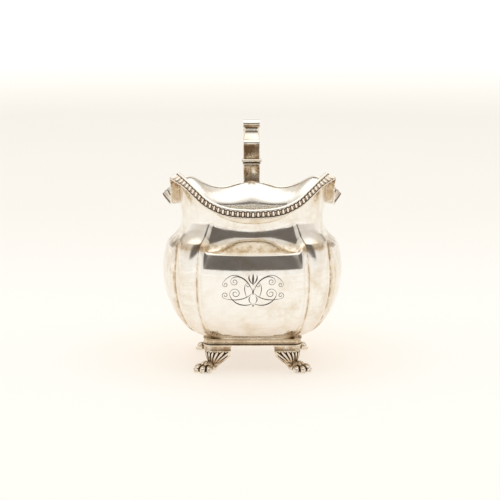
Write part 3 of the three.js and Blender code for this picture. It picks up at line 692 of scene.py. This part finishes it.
def border_strip(name, low, high):
    """One strip of tongues between two turns of the rim, mitred where it meets the next strip at a corner."""
    limits = strip_limits((low + high) / 2)
    fine = np.linspace(low, high, 801)
    lengths = run_along([rim_frame(t)[0] for t in fine])
    total = lengths[-1]
    tongues = round(total / TONGUE_PITCH)
    places = [((n + 0.5 + phase) * total / tongues, phase) for n in range(tongues) for phase in TONGUE_PHASES]
    places.append((total, -0.5))
    mitred = [abs(limit - end) < 0.01 for limit, end in zip(limits, (low, high))]
    rows, brown_share, kept = [], [], []
    for at, phase in places:
        turn = float(np.interp(at, lengths, fine))
        edge, out, up, wide, _ = rim_axes(turn, limits)
        gap = min([gap for gap, meets in zip((at, total - at), mitred) if meets], default=PLAIN_END)
        plain = 1 - smoothstep(gap, PLAIN_END - 0.25, PLAIN_END)
        section = border_section(phase, wide, plain)
        rows.append(np.array([edge + out * across + up * height for across, height in section]))
        near_ear = math.exp(-(((abs(turn) - FRONT_CORNER) / 0.9) ** 2))
        for across, height in section:
            above = 0.16 if across > BEAD_END else 0.0
            brown_share.append(0.95 * near_ear if height < -0.2 else above)
        kept += [1 - 0.6 * near_ear] * len(section)
    piece = new_piece(name + "_gadroon", loft(rows), BORDER, [*brown_share, 0.0, 0.0])
    mark_recesses(piece, 1.1, np.array([*kept, 1.0, 1.0]))
    stands_for(piece, name)


# ---------- the base band ----------

BAND_HALF = 24.4  # half the ring's width, to which the section's distances out are added
BAND_RADIUS = 4.6
BAND_INNER = -4.4


def base_band():
    """A moulded ring: a thin foot, a narrow cut, a shallow hollow and a fine edge under the body."""
    section = [(BAND_INNER, 0.0), (-0.2, 0.0), (0.05, 0.12), (0.05, 0.34), (-0.1, 0.42)]
    section += [(-0.62, 0.46), (-0.62, 0.82)]
    section += [(-0.04 - 0.5 * math.sin(a), 1.95 - 1.1 * math.cos(a)) for a in np.linspace(0.0, math.pi, 14)]
    section += [(0.12, 3.1), (0.2, 3.2), (0.2, 3.38), (0.05, 3.46), (-0.3, 3.5), (-0.3, BAND_HEIGHT)]
    section.append((BAND_INNER, BAND_HEIGHT))
    rows = []
    for outward, height in section:
        half = BAND_HALF + outward
        corners = rounded_corners(half, half, max(0.3, BAND_RADIUS + outward), 11)
        rows.append(np.array([(x, y, BASE_UNDERSIDE + height) for corner in corners for x, y in corner]))
    shape = loft_round(rows)
    near_corner = [smoothstep(min(abs(x), abs(y)), BAND_HALF - 8, BAND_HALF - 1) for x, y, _ in shape[0]]
    piece = new_piece("foot_ring", shape, WORN, [0.12 + 0.6 * near for near in near_corner])
    mark_recesses(piece, 1.6)
    stands_for(piece, "base_band")


# ---------- the feet ----------

FOOT_TOP = BASE_UNDERSIDE + 0.37
FOOT_PLATE = 1.0
BRACKET_TOP = FOOT_TOP - FOOT_PLATE - 0.05
ANKLE = np.array([19.3, -19.3])
UP = np.array([0, 0, 1.0])
FOOT_AHEAD = unit(np.array([1.0, -1.0, 0]))  # the front right foot points out along the jug's diagonal
FOOT_ASIDE = np.array([-FOOT_AHEAD[1], FOOT_AHEAD[0], 0])
ANKLE_BOTTOM = 2.4
ANKLE_RADIUS = 2.7
WING_END = 10.8  # how near the middle of the jug's side each of the bracket's two wings comes
WING_DEPTH = 4.0
WING_FACE = 24.0  # the wings' outer faces, from the jug's axis
WING_CORNER = 4.2  # the radius with which one face turns into the other
WING_FOOT = 7.8  # below this height the wings draw in to the ankle
BRACKET_HEEL = 15.8  # where the wings' backs meet, from the jug's axis along x and y
FAN_CENTRE = -2.6  # the height from which the reeds fan out
REED_ANGLE = math.radians(9.6)
EDGE_BAND = 1.15  # the plain border down each wing's free edge
REED_TOP = 10.3

# How far the bracket has drawn in towards the ankle at each height.
BRACKET_ROWS = np.array([
    (ANKLE_BOTTOM, 1.0), (4.6, 0.62), (6.3, 0.3),
    (WING_FOOT, 0.05), (WING_FOOT + 2, 0.02), (BRACKET_TOP, 0.0),
])


def bracket_outer_line():
    """The front right bracket's outside from above: places, directions inward, distances from its middle."""
    half = WING_FACE - WING_CORNER - WING_END + WING_CORNER * math.pi / 4
    centre = np.array([WING_FACE - WING_CORNER, WING_CORNER - WING_FACE])
    line = []
    for along in np.linspace(-half, half, 125):
        angle = min(max(math.pi / 4 + along / WING_CORNER, 0.0), math.pi / 2)
        past_corner = along - (angle - math.pi / 4) * WING_CORNER
        ahead = np.array([math.cos(angle), math.sin(angle)])
        inward = np.array([-ahead[1], ahead[0]])
        line.append((centre - inward * WING_CORNER + ahead * past_corner, inward, along))
    return line, half


def reed_cut(along, z, half, shrink):
    """How deep the cuts beside the reeds are, on a fan of rounded reeds that rises from the ankle."""
    phase = (math.atan2(along, z - FAN_CENTRE) / REED_ANGLE) % 1 - 0.5
    inside = min(REED_TOP - z, half - EDGE_BAND - abs(along)) - (2 * phase) ** 2
    carved = smoothstep(inside, -0.22, 0.22)
    hollow = 1 - math.sqrt(max(0.0, 1 - (1.96 * phase) ** 2))
    return (0.25 + 1.2 * hollow) * carved * (1 - 0.55 * shrink)


def bracket_section(z, shrink):
    """One level of the bracket: a fan of reeds under a hollow band, with plain edges."""
    hollow = 0.35 * math.sin(math.pi * smoothstep(z, REED_TOP + 0.1, BRACKET_TOP - 0.2))
    line, half = bracket_outer_line()
    points = [place + inward * (reed_cut(along, z, half, shrink) + hollow) for place, inward, along in line]
    inside = WING_FACE - WING_DEPTH
    points += [(inside, -WING_END), (inside - 1.4, -WING_END - 1.7), (BRACKET_HEEL, -BRACKET_HEEL)]
    points += [(WING_END + 1.7, 1.4 - inside), (WING_END, -inside)]
    level = []
    for p in points:
        away = np.array(p) - ANKLE
        spread = away * (1 - shrink) + unit(away) * ANKLE_RADIUS * shrink
        level.append((*(ANKLE + spread), z))
    return np.array(level)


def quarter_turn(points, quarter):
    """Turns points about the jug's axis by quarters, for the four feet."""
    angle = math.pi / 2 * quarter
    c, s = round(math.cos(angle)), round(math.sin(angle))
    turned = np.array(points, float)
    turned[:, 0], turned[:, 1] = c * points[:, 0] - s * points[:, 1], s * points[:, 0] + c * points[:, 1]
    return turned


def torus(centre, axis, radius, tube):
    """A closed ring of round section."""
    side = unit(np.cross(axis, (1, 0, 0)))
    other = np.cross(axis, side)
    rows = []
    for c, s in circle(40):
        ray = side * c + other * s
        rows.append(np.array([centre + ray * (radius + tube * a) + axis * tube * b for a, b in circle(12)]))
    return loft_round(rows)


def bracket_shape():
    """The reeded bracket with its cuff round the ankle; levels are close together where the reeds end."""
    heights = [*np.linspace(ANKLE_BOTTOM, 7.6, 16), WING_FOOT - 0.05, WING_FOOT + 0.05]
    heights += [*np.linspace(8.2, 9.0, 3), *np.linspace(9.15, 10.6, 12), *np.linspace(10.8, BRACKET_TOP, 8)]
    rows = [bracket_section(z, float(np.interp(z, BRACKET_ROWS[:, 0], BRACKET_ROWS[:, 1]))) for z in heights]
    cuff = torus(np.array([*ANKLE, 4.1]), unit(UP + 0.35 * FOOT_AHEAD), 3.0, 0.55)
    return joined([loft(rows), cuff])


def plate_shape():
    """The thin plate between the bracket and the base band."""
    lip = 0.45
    near, far = WING_END - lip, WING_FACE + lip
    inside, heel = WING_FACE - WING_DEPTH - lip, BRACKET_HEEL - lip
    cut = WING_CORNER + 0.4
    turns = np.linspace(0, math.pi / 2, 9)
    arc = [(far - cut + cut * math.sin(a), cut - far - cut * math.cos(a)) for a in turns]
    outline = [(near, -far), (near + 3, -far), *arc, (far, -near - 3), (far, -near)]
    outline = np.array([*outline, (inside, -near), (heel, -heel), (near, -inside)])
    rows = []
    for z, draw in ((0, 0.3), (0.12, 0.08), (0.35, 0), (0.6, 0), (0.88, 0.1), (FOOT_PLATE, 0.3)):
        level = drawn_in(outline, outline.mean(axis=0), draw)
        rows.append(np.column_stack([level, np.full(len(level), FOOT_TOP - FOOT_PLATE + z)]))
    return loft(rows)


def ball(centre, size, direction):
    """An ellipsoid whose long axis points along a direction."""
    x = unit(direction)
    y = unit(np.cross(UP, x))
    z = np.cross(x, y)
    rows = []
    for lat in np.linspace(-math.pi / 2, math.pi / 2, 17)[1:-1]:
        middle = centre + x * size[0] * math.sin(lat)
        shrink = math.cos(lat)
        rows.append(np.array([middle + (y * size[1] * c + z * size[2] * s) * shrink for c, s in circle(24)]))
    return loft(rows)


def fused(shells, voxel, smoothing):
    """Melts overlapping shells into one skin. Works in millimetres and returns points and faces."""
    points, faces = joined(shells)
    mesh = bpy.data.meshes.new("fusing")
    mesh.from_pydata(points.tolist(), [], faces)
    piece = placed("fusing", mesh)
    remesh = piece.modifiers.new("skin", "REMESH")
    remesh.mode = "VOXEL"
    remesh.voxel_size = voxel
    smooth = piece.modifiers.new("smooth", "SMOOTH")
    smooth.factor = 0.5
    smooth.iterations = smoothing
    bpy.context.view_layer.update()
    result = piece.evaluated_get(bpy.context.evaluated_depsgraph_get()).to_mesh()
    skin = np.array([v.co for v in result.vertices])
    skin_faces = [tuple(p.vertices) for p in result.polygons]
    bpy.data.objects.remove(piece)
    bpy.data.meshes.remove(mesh)
    return skin, skin_faces


PAW_AHEAD = ANKLE[0] * math.sqrt(2)  # the ankle's distance from the jug's axis
TOE_ANGLES = (-39, -13.5, 13.5, 39)  # degrees from straight ahead


def paw_shape():
    """A lion's paw pointing out along the jug's diagonal: instep, pad, four knuckled toes and their claws."""
    def place(ahead, z):
        return FOOT_AHEAD * (PAW_AHEAD + ahead) + UP * z

    shells = [ball(place(0.5, 3.0), (3.3, 3.1, 2.3), FOOT_AHEAD)]
    shells.append(ball(place(3.6, 1.9), (4.6, 4.2, 2.0), FOOT_AHEAD))
    for angle in TOE_ANGLES:
        lean = math.radians(angle)
        toe = FOOT_AHEAD * math.cos(lean) + FOOT_ASIDE * math.sin(lean)
        reach = 6.0 if abs(angle) > 20 else 6.8
        knuckle = (reach - 3.1, 3.4, (2.2, 1.35, 1.5), toe * 0.93 - UP * 0.37)
        tip = (reach, 1.8, (2.2, 1.68, 1.85), toe * 0.96 - UP * 0.25)
        claw = (reach + 1.9, 0.8, (0.85, 0.75, 0.75), toe * 0.9 - UP * 0.3)
        for out, z, size, direction in (knuckle, tip, claw):
            shells.append(ball(place(2.4, z) + toe * out, size, direction))
    points, faces = fused(shells, 0.17, 1)
    points[:, 2] = np.maximum(points[:, 2], 0.0)
    return points, faces


CORNERS = ("front_right", "back_right", "back_left", "front_left")


def cast_stain(z):
    """The feet are browner under their top plates and round the ankle."""
    under = smoothstep(z, REED_TOP - 1.2, REED_TOP + 0.4)
    plate = smoothstep(z, BRACKET_TOP, BRACKET_TOP + 0.6)
    ankle = smoothstep(z, 2.4, 4.0) * (1 - smoothstep(z, 5.0, 7.0))
    return 0.1 + 0.5 * under * (1 - plate) + 0.35 * ankle


def feet():
    shapes = {"plate": plate_shape(), "bracket": bracket_shape(), "paw": paw_shape()}
    recess_reach = {"plate": 0.4, "bracket": 1.6, "paw": 2.0}
    for part, (points, faces) in shapes.items():
        brown_share = [cast_stain(z) for z in points[:, 2]]
        for quarter, corner in enumerate(CORNERS):
            piece = new_piece(f"{corner}_{part}", (quarter_turn(points, quarter), faces), CAST, brown_share)
            mark_recesses(piece, recess_reach[part])
            if part != "paw":
                piece.data.set_sharp_from_angle(angle=math.radians(50))
            stands_for(piece, f"foot_{corner}_{part}")


# ---------- the handle ----------

def smooth_path(rows, count):
    """A table of places resampled along a cubic by the distance run."""
    rows = np.array(rows, float)
    run = run_along(rows[:, :2])
    table = np.column_stack([run, rows])
    return np.array([smooth_row(table, at)[1:] for at in np.linspace(0, run[-1], count)])


def strap_section(wide, thick, crown):
    """A flat bar's section, with rounded edges and faces that are crowned by a little."""
    w, t = wide / 2, thick / 2
    face = [(w * f, t + crown * (1 - f * f)) for f in (0.7, 0.35, 0, -0.35, -0.7)]
    first, second, third, fourth = rounded_corners(w, t, min(0.55, thick * 0.35), 5)
    return first + face + second + third + [(-x, -y) for x, y in face] + fourth


def strap(rows, count, crown=0.0):
    """A bar swept in the plane through the spout and the handle. Rows: y, z, thickness, width."""
    path = smooth_path(rows, count)
    loops = []
    for n, (y, z, thick, wide) in enumerate(path):
        ahead = path[min(n + 1, count - 1)][:2] - path[max(n - 1, 0)][:2]
        along_y, along_z = unit(ahead)
        rounding = min(n, count - 1 - n)
        draw = (0.25, 0.07)[rounding] if rounding < 2 else 0.0
        section = strap_section(wide - draw, thick - draw, crown)
        loops.append(np.array([(x, y + along_z * t, z - along_y * t) for x, t in section]))
    return loft(loops)


def across_handle(outline, middle, places):
    """Copies of an outline in the y-z plane: a distance across and a distance drawn in for each."""
    rows = []
    for x, draw in places:
        level = drawn_in(outline, middle, draw)
        rows.append(np.column_stack([np.full(len(level), x), level]))
    return rows


def cross_bar(outline, width):
    """A bar across the handle with eased ends; the outline is in the y-z plane."""
    outline = np.array(outline)
    half = width / 2
    easing = ((-half, 0.3), (0.1 - half, 0.1), (0.3 - half, 0))
    other_end = [(-x, draw) for x, draw in reversed(easing)]
    return loft(across_handle(outline, outline.mean(axis=0), (*easing, *other_end)))


def round_outline(centre, radius, count):
    return [(centre[0] + radius * c, centre[1] + radius * s) for c, s in circle(count)]


def curl_outline(centre, radius, turns, start):
    """A strip rolled up into a scroll: its outer face in a spiral, then back along its inner face."""
    gauge = radius * 0.36
    outer, inner = [], []
    count = int(turns * 26)
    for n in range(count + 1):
        share = n / count
        angle = start + 2 * math.pi * turns * share
        reach = radius * (1 - 0.72 * share)
        for line, r in ((outer, reach), (inner, max(reach - gauge * (1 - 0.4 * share), 0.05))):
            line.append((centre[0] + r * math.cos(angle), centre[1] + r * math.sin(angle)))
    return np.array(outer + inner[::-1])


def rolled(centre, radius, width, start):
    """A scroll across the handle: a spiral strip round a solid core that is a little narrower."""
    outline = curl_outline(centre, radius, 1.45, start)
    half = width / 2
    places = ((-half, 0.06), (0.12 - half, 0), (half - 0.12, 0), (half, 0.06))
    rows = across_handle(outline, np.array(centre), places)
    count = len(outline)
    last = (len(rows) - 1) * count
    faces = bands(rows)
    for i in range(count // 2 - 1):
        across = (i, i + 1, count - 2 - i, count - 1 - i)
        faces += [across[::-1], tuple(last + n for n in across)]
    core = cross_bar(round_outline(centre, radius * 0.8, 36), width - 0.7)
    return joined([(np.concatenate(rows), faces), core])


# Centres of rolls are given as y and z.
COLLAR_BOTTOM = 94.9
COLLAR_TOP = 98.5
RISER_Y = 48.4  # of the strap where it stands upright behind the rim
KNUCKLE = (RISER_Y + 1.2, 106.6)
KNUCKLE_RADIUS = 1.6
SCROLL = (54.6, 116.0)
SCROLL_RADIUS = 2.5
TAIL_SCROLL = (80.0, 64.2)
TAIL_RADIUS = 2.6
# The parts that take the cleaner silver, as a painted highlight.
HIGHLIGHT_PARTS = ("handle_knuckle", "handle_thumb_scroll")


def collar_shape():
    """Two beads round the strap, the upper one larger, with a hollow between and below them."""
    rows = []
    beads = ((COLLAR_BOTTOM + 0.75, 9.1, 3.7, 0.62), (COLLAR_BOTTOM + 2.45, 9.9, 4.4, 0.9))
    for z, width, depth, radius in beads:
        for a in np.linspace(-math.pi / 2, math.pi / 2, 10):
            swell = radius * math.cos(a) - 0.4
            rows.append((z + radius * math.sin(a), width / 2 + swell, depth / 2 + swell))
    rows.append((COLLAR_TOP, 4.55, 1.85))
    loops = []
    for z, w, d in rows:
        corners = rounded_corners(w, d, 0.8, 6)
        loops.append(np.array([(x, RISER_Y + y, z) for corner in corners for x, y in corner]))
    return loft(loops)


def pad_shape():
    """The oval rose by which the loop's foot is soldered to the back panel."""
    across, up, height = 6.4, 5.0, 53.0
    profile = ((46.2, 0.86), (46.7, 0.97), (47.3, 1.0), (47.9, 0.97), (48.3, 0.86), (48.6, 0.84),
               (49.2, 0.87), (49.9, 0.84), (50.4, 0.74), (51.2, 0.68), (52.2, 0.66))
    rows = []
    for y, size in profile:
        rows.append(np.array([(across * size * c, y, height + up * size * s) for c, s in circle(48)]))
    return loft(rows)


# How brown each handle part is: the throat's brown is painted shade, the post's is partly tarnishing and
# partly a painted reflection of the dark room, the others' is tarnishing.
HANDLE_STAIN_AND_SHADE = {
    "handle_root": 0.7, "handle_post": 1.0, "handle_collar": 0.08, "handle_throat": 0.24,
    "handle_lower_pad": 0.35, "handle_loop": 0.28, "handle_tail_scroll": 0.3,
}


def handle_stain_and_shade(node, z):
    """How brown a part of the handle is; the thumb scroll only underneath, where the brown is partly
    tarnishing and partly painted shade.
    """
    if node == "handle_thumb_scroll":
        # Painted shade, with some tarnishing, on the scroll's lower half.
        return 0.75 * (1 - smoothstep(z, SCROLL[1] - 1.2, SCROLL[1] + 1.2))
    return HANDLE_STAIN_AND_SHADE.get(node, 0.0)


def handle_shapes():
    """The straps' rows give y, z, thickness and width at places along each."""
    ky, kz = KNUCKLE
    sy, sz = SCROLL
    root = [(38.4, 77.4, 3.6, 9.6), (42.2, 79.4, 3.2, STRAP_WIDTH), (46.9, 84.0, 3.0, STRAP_WIDTH),
            (RISER_Y, 90.0, 3.0, STRAP_WIDTH), (RISER_Y, COLLAR_BOTTOM + 0.1, 3.0, 8.5)]
    post = [(RISER_Y, COLLAR_TOP - 0.1, 3.2, 8.4), (RISER_Y + 0.2, 101.6, 3.1, 8.4),
            (RISER_Y + 0.8, 105.4, 3.0, STRAP_WIDTH)]
    throat = [(ky + 0.8, kz + 0.9, 2.6, 8.5), (ky + 2.4, kz + 2.6, 2.4, 8.2), (ky + 3.6, kz + 4.8, 2.2, 7.5),
              (ky + 3.9, kz + 6.6, 2.2, 7.2), (sy - 1.1, sz - 1.6, 2.2, 7.6)]
    loop = [(sy + SCROLL_RADIUS - 0.8, 115.8, 2.8, 8.2), (64.5, 115.6, 3.2, 8.4), (74.0, 112.9, 3.6, 8.6),
            (82.4, 106.5, 4.0, 8.8), (86.6, 95.6, 4.2, 9.0), (86.0, 83.5, 4.0, 8.8), (80.6, 72.4, 3.7, 8.4),
            (72.0, 63.6, 3.4, 8.0), (62.0, 56.8, 3.2, 7.6), (52.0, 53.7, 3.2, 7.6)]
    return {
        "handle_root": strap(root, 40),
        "handle_collar": collar_shape(),
        "handle_post": strap(post, 16),
        "handle_knuckle": cross_bar(round_outline(KNUCKLE, KNUCKLE_RADIUS, 32), 8.9),
        "handle_throat": strap(throat, 20),
        "handle_thumb_scroll": rolled(SCROLL, SCROLL_RADIUS, 8.8, math.radians(80)),
        "handle_loop": strap(loop, 110, 0.25),
        "handle_tail_scroll": rolled(TAIL_SCROLL, TAIL_RADIUS, 8.0, math.radians(60)),
        "handle_lower_pad": pad_shape(),
    }


def handle():
    for node, shape in handle_shapes().items():
        brown_share = [handle_stain_and_shade(node, z) for _, _, z in shape[0]]
        material = HIGHLIGHT_SILVER if node in HIGHLIGHT_PARTS else STRAP
        piece = new_piece(node.replace("handle_", "grip_"), shape, material, brown_share)
        piece.data.set_sharp_from_angle(angle=math.radians(55))
        mark_recesses(piece, 1.4)
        stands_for(piece, node)


# ---------- the engraved ornament ----------

ORNAMENT_HEIGHT = 45.6  # of its middle


def on_front_panel(x, up):
    """A place on the front panel, up from the ornament's middle, and the panel's outward normal there."""
    z = ORNAMENT_HEIGHT + up

    def surface(px, pz):
        level = level_at(pz)
        return -plan_eighth(abs(px) / level[2], level)[1]

    step = 0.2
    slope_x = (surface(x + step, z) - surface(x - step, z)) / (2 * step)
    slope_z = (surface(x, z + step) - surface(x, z - step)) / (2 * step)
    return np.array([x, surface(x, z), z]), unit(np.array([slope_x, -1, slope_z]))


def cut_line(points, widths):
    """An engraver's stroke: a thin dark sliver that swells and tapers, let into the surface."""
    points = np.array(points, float)
    rows = []
    for n, point in enumerate(points):
        ahead = unit(points[min(n + 1, len(points) - 1)] - points[max(n - 1, 0)])
        across = np.array([-ahead[1], ahead[0]]) * widths[n] / 2
        left, normal = on_front_panel(*(point + across))
        right, _ = on_front_panel(*(point - across))
        middle, _ = on_front_panel(*point)
        crown, root = middle + normal * 0.03, middle - normal * 0.08
        rows.append(np.array([left + normal * 0.012, crown, right + normal * 0.012, root]))
    return loft(rows)


def swelling(count, thin, thick):
    """A stroke's width along its length."""
    return [1.35 * (thin + (thick - thin) * math.sin(math.pi * n / (count - 1))) for n in range(count)]


def curl(centre, radius, end_radius, start, sweep, count=36):
    """A spiral stroke: angles in degrees, anticlockwise from the right."""
    line = []
    for n in range(count):
        share = n / (count - 1)
        a = math.radians(start + sweep * share)
        r = radius + (end_radius - radius) * share**0.8
        line.append((centre[0] + r * math.cos(a), centre[1] + r * math.sin(a)))
    return line


def bezier(a, b, c, d, count=26):
    a, b, c, d = (np.array(p, float) for p in (a, b, c, d))
    return [tuple((1 - s) ** 3 * a + 3 * s * (1 - s) ** 2 * b + 3 * s * s * (1 - s) * c + s**3 * d)
            for s in np.linspace(0, 1, count)]


def ornament():
    """A symmetrical spray of scrolls and leaves, cut in line on the front panel."""
    right = [
        (bezier((0.3, -6.6), (4.5, -8.6), (9.5, -7.0), (11.2, -2.6)), 0.16, 0.42),
        (curl((8.5, -1.6), 2.9, 0.5, -20, 560), 0.12, 0.26),
        (bezier((0.6, -1.5), (3.5, -4.6), (8.5, -5.4), (13.0, -4.4)), 0.12, 0.34),
        (curl((13.4, -2.6), 1.85, 0.35, -102, 500, 30), 0.12, 0.22),
        (bezier((0.5, 0.2), (2.6, 5.8), (7.2, 8.4), (10.4, 5.6)), 0.14, 0.46),
        (curl((8.9, 4.2), 2.05, 0.4, 43, -520, 32), 0.12, 0.22),
        (bezier((5.2, 6.0), (8.0, 8.6), (12.2, 7.4), (14.6, 3.4)), 0.10, 0.24),
        (curl((13.3, 2.7), 1.45, 0.3, 28, -470, 26), 0.10, 0.2),
        (bezier((3.0, -3.4), (4.2, -0.6), (4.4, 1.8), (3.4, 3.4)), 0.10, 0.30),
        (curl((2.6, 2.5), 1.2, 0.25, 48, 430, 24), 0.10, 0.2),
        (bezier((0.2, 3.2), (1.8, 4.6), (2.4, 6.4), (1.7, 7.6)), 0.10, 0.5),
        (bezier((1.0, -6.4), (2.2, -5.2), (2.2, -4.0), (1.2, -2.9)), 0.10, 0.36),
    ]
    middle = [
        (bezier((0, 2.6), (-0.15, 4.5), (0.15, 6.5), (0, 8.2)), 0.12, 0.75),
        (bezier((0, -7.0), (-0.1, -7.4), (0.1, -7.8), (0, -8.3), 10), 0.12, 0.5),
        (bezier((0, -2.2), (-0.1, -1.2), (0.1, -0.2), (0, 0.9), 14), 0.12, 0.6),
    ]
    shells = []
    for line, thin, thick in right:
        widths = swelling(len(line), thin, thick)
        shells.append(cut_line(line, widths))
        shells.append(cut_line([(-x, up) for x, up in line], widths))
    for line, thin, thick in middle:
        shells.append(cut_line(line, swelling(len(line), thin, thick)))
    piece = new_piece("front_ornament", joined(shells), ENGRAVED)
    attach(piece, "root")


# ---------- the stage ----------

def floor_material():
    """Pale paper that glows by itself with painted light, so that shadows on it stay faint and it is pale to
    the horizon.
    """
    n = Nodes("pale_floor")
    paper = n.mix(n.noise(3, 2), (0.33, 0.32, 0.30, 1), (0.35, 0.34, 0.32, 1))
    n.set(Base_Color=paper, Roughness=0.85, Specular_IOR_Level=0.1)
    place = n.add("ShaderNodeTexCoord").outputs["Object"]
    distance = n.add("ShaderNodeVectorMath", {0: place}, operation="LENGTH").outputs["Value"]
    # Painted light: a warmer glow just round the jug, tinting its faint shadow, then a plainer one farther
    # out and a dimmer one behind it.
    under = n.mix(n.between(distance, 0.03, 0.10), (0.69, 0.62, 0.55, 1), (0.65, 0.64, 0.61, 1))
    near = n.mix(n.between(distance, 0.10, 0.40), under, (0.63, 0.625, 0.61, 1))
    beyond = n.add("ShaderNodeSeparateXYZ", {0: place}).outputs["Y"]
    near = n.mix(n.between(beyond, 0.1, 0.5), near, (0.592, 0.577, 0.543, 1))
    # Painted light: far off the floor glows brighter, so that it is pale to the horizon.
    glow = n.mix(n.between(distance, 1.4, 2.8), near, (0.83, 0.815, 0.785, 1))
    n.set(Emission_Color=glow, Emission_Strength=1.0)
    return n.material


def stage_piece(name, points, faces, material, across=None, hidden_from=()):
    """A piece of the stage, in metres. across says, from 0 to 1, how near a card's edge each point is."""
    mesh = bpy.data.meshes.new(name)
    mesh.from_pydata(points, [], faces)
    if across:
        write_attribute(mesh, "across", across)
    mesh.materials.append(material)
    piece = placed(name, mesh)
    for rays in hidden_from:
        setattr(piece, "visible_" + rays, False)


def floor():
    reach = 14.0
    corners = [(-reach, -reach, 0), (reach, -reach, 0), (reach, reach, 0), (-reach, reach, 0)]
    stage_piece("floor", corners, [(0, 1, 2, 3)], floor_material())


def card_material(name, dark, light, solid_to=0.78):
    """A glowing grey that is solid up to a share of the way out and then fades to nothing at the edge."""
    n = Nodes(name)
    n.tree.nodes.remove(n.shader)
    shade = n.mix(n.noise(1.6, 2), dark, light)
    glow = n.add("ShaderNodeEmission", {"Color": shade, "Strength": 1.0})
    clear = n.add("ShaderNodeBsdfTransparent")
    solid = n.between(n.attribute("across"), solid_to, 1.0, 1.0, 0.0)
    blend = n.add("ShaderNodeMixShader", {0: solid, 1: clear.outputs[0], 2: glow.outputs[0]})
    n.tree.links.new(blend.outputs[0], n.tree.nodes["Material Output"].inputs["Surface"])
    return n.material


def card(name, azimuth, half_angle, heights, shades):
    """A curved card round the table that only the silver sees; azimuth 0 is behind the camera."""
    distance = 1.35
    steps = 32
    points, across = [], []
    for share in np.linspace(-1, 1, steps + 1):
        a = math.radians(azimuth + half_angle * share)
        points += [(distance * math.sin(a), CENTRE_Y - distance * math.cos(a), z) for z in heights]
        across += [abs(share)] * len(heights)
    faces = [(2 * n, 2 * n + 1, 2 * n + 3, 2 * n + 2) for n in range(steps)]
    stage_piece(name, points, faces, card_material(name, *shades), across, ("camera", "diffuse", "shadow"))


def ceiling():
    """A wide soft light over the table, brightest in the middle and fading out to the sides."""
    rings, around, height, reach = 8, 32, 1.5, 1.5
    points, across = [(0, CENTRE_Y, height)], [0.0]
    for share in np.linspace(0, 1, rings + 1)[1:]:
        points += [(reach * share * s, CENTRE_Y + reach * share * c, height) for c, s in circle(around)]
        across += [share] * around
    faces = [(0, 1 + (n + 1) % around, 1 + n) for n in range(around)]
    for r in range(rings - 1):
        faces += band(around, 1 + r * around, 1 + (r + 1) * around)
    light = card_material("ceiling_light", (1.38, 1.35, 1.30, 1), (1.48, 1.45, 1.40, 1), 0.45)
    stage_piece("ceiling", points, faces, light, across, ("camera",))


def cards():
    """The unlit room behind the camera, and its fainter counterpart beyond the table."""
    card("room_behind_camera", 0, 46, (0.19, 0.92), ((0.11, 0.10, 0.092, 1), (0.21, 0.19, 0.17, 1)))
    card("room_beyond_table", 180, 42, (0.30, 0.72), ((0.46, 0.44, 0.41, 1), (0.56, 0.54, 0.50, 1)))


def softbox(name, place, aim, size, power):
    light = bpy.data.lights.new(name, "AREA")
    light.shape = "RECTANGLE"
    light.size, light.size_y = size
    light.energy = power
    light.color = (1, 0.985, 0.96)
    lamp = placed(name, light)
    lamp.location = place
    lamp.rotation_euler = (Vector(aim) - Vector(place)).to_track_quat("-Z", "Y").to_euler()
    lamp.visible_glossy = False


def lights():
    """A bright horizon, a dimmer room above it, and a large soft box on either side of the table."""
    world = bpy.data.worlds.new("studio")
    world.use_nodes = True
    tree = world.node_tree
    place = tree.nodes.new("ShaderNodeTexCoord")
    split = tree.nodes.new("ShaderNodeSeparateXYZ")
    ramp = tree.nodes.new("ShaderNodeValToRGB")
    tree.links.new(place.outputs["Generated"], split.inputs[0])
    tree.links.new(split.outputs["Z"], ramp.inputs[0])
    tree.links.new(ramp.outputs["Color"], tree.nodes["Background"].inputs["Color"])
    tree.nodes["Background"].inputs["Strength"].default_value = 1.0
    horizon, walls, zenith = (0.97, 0.95, 0.915, 1), (0.70, 0.655, 0.60, 1), (0.86, 0.83, 0.78, 1)
    stops = ramp.color_ramp.elements
    stops.new(0.5)
    for stop, position, colour in zip(stops, (0.10, 0.34, 0.85), (horizon, walls, zenith)):
        stop.position = position
        stop.color = colour
    bpy.context.scene.world = world
    aim = (0, CENTRE_Y, 0.06)
    for name, x in (("left_softbox", -1.5), ("right_softbox", 1.5)):
        softbox(name, (x, -0.1, 0.75), aim, (1.0, 1.1), 3.6)


def camera():
    """Level with the photographer's eye: ten degrees above the table, a short telephoto."""
    data = bpy.data.cameras.new("camera")
    data.sensor_width = 36
    data.lens = 110.6
    data.clip_start, data.clip_end = 0.05, 60
    eye = placed("camera", data)
    eye.location = (-0.006, CENTRE_Y - 0.7676, 0.1945)
    eye.rotation_euler = (math.radians(90 - 10.13), 0, math.radians(-0.36))
    bpy.context.scene.camera = eye
    bpy.context.scene.view_settings.view_transform = "Standard"
    bpy.context.scene.view_settings.look = "None"


camera()
lights()
floor()
cards()
ceiling()
body_shell()
base_band()
border_strip("border_front", -FRONT_CORNER, FRONT_CORNER)
border_strip("border_side_right", FRONT_CORNER, REAR_CORNER)
border_strip("border_side_left", -REAR_CORNER, -FRONT_CORNER)
border_strip("border_back_right", REAR_CORNER, HANDLE_GAP_TURN)
border_strip("border_back_left", -HANDLE_GAP_TURN, -REAR_CORNER)
feet()
handle()
ornament()
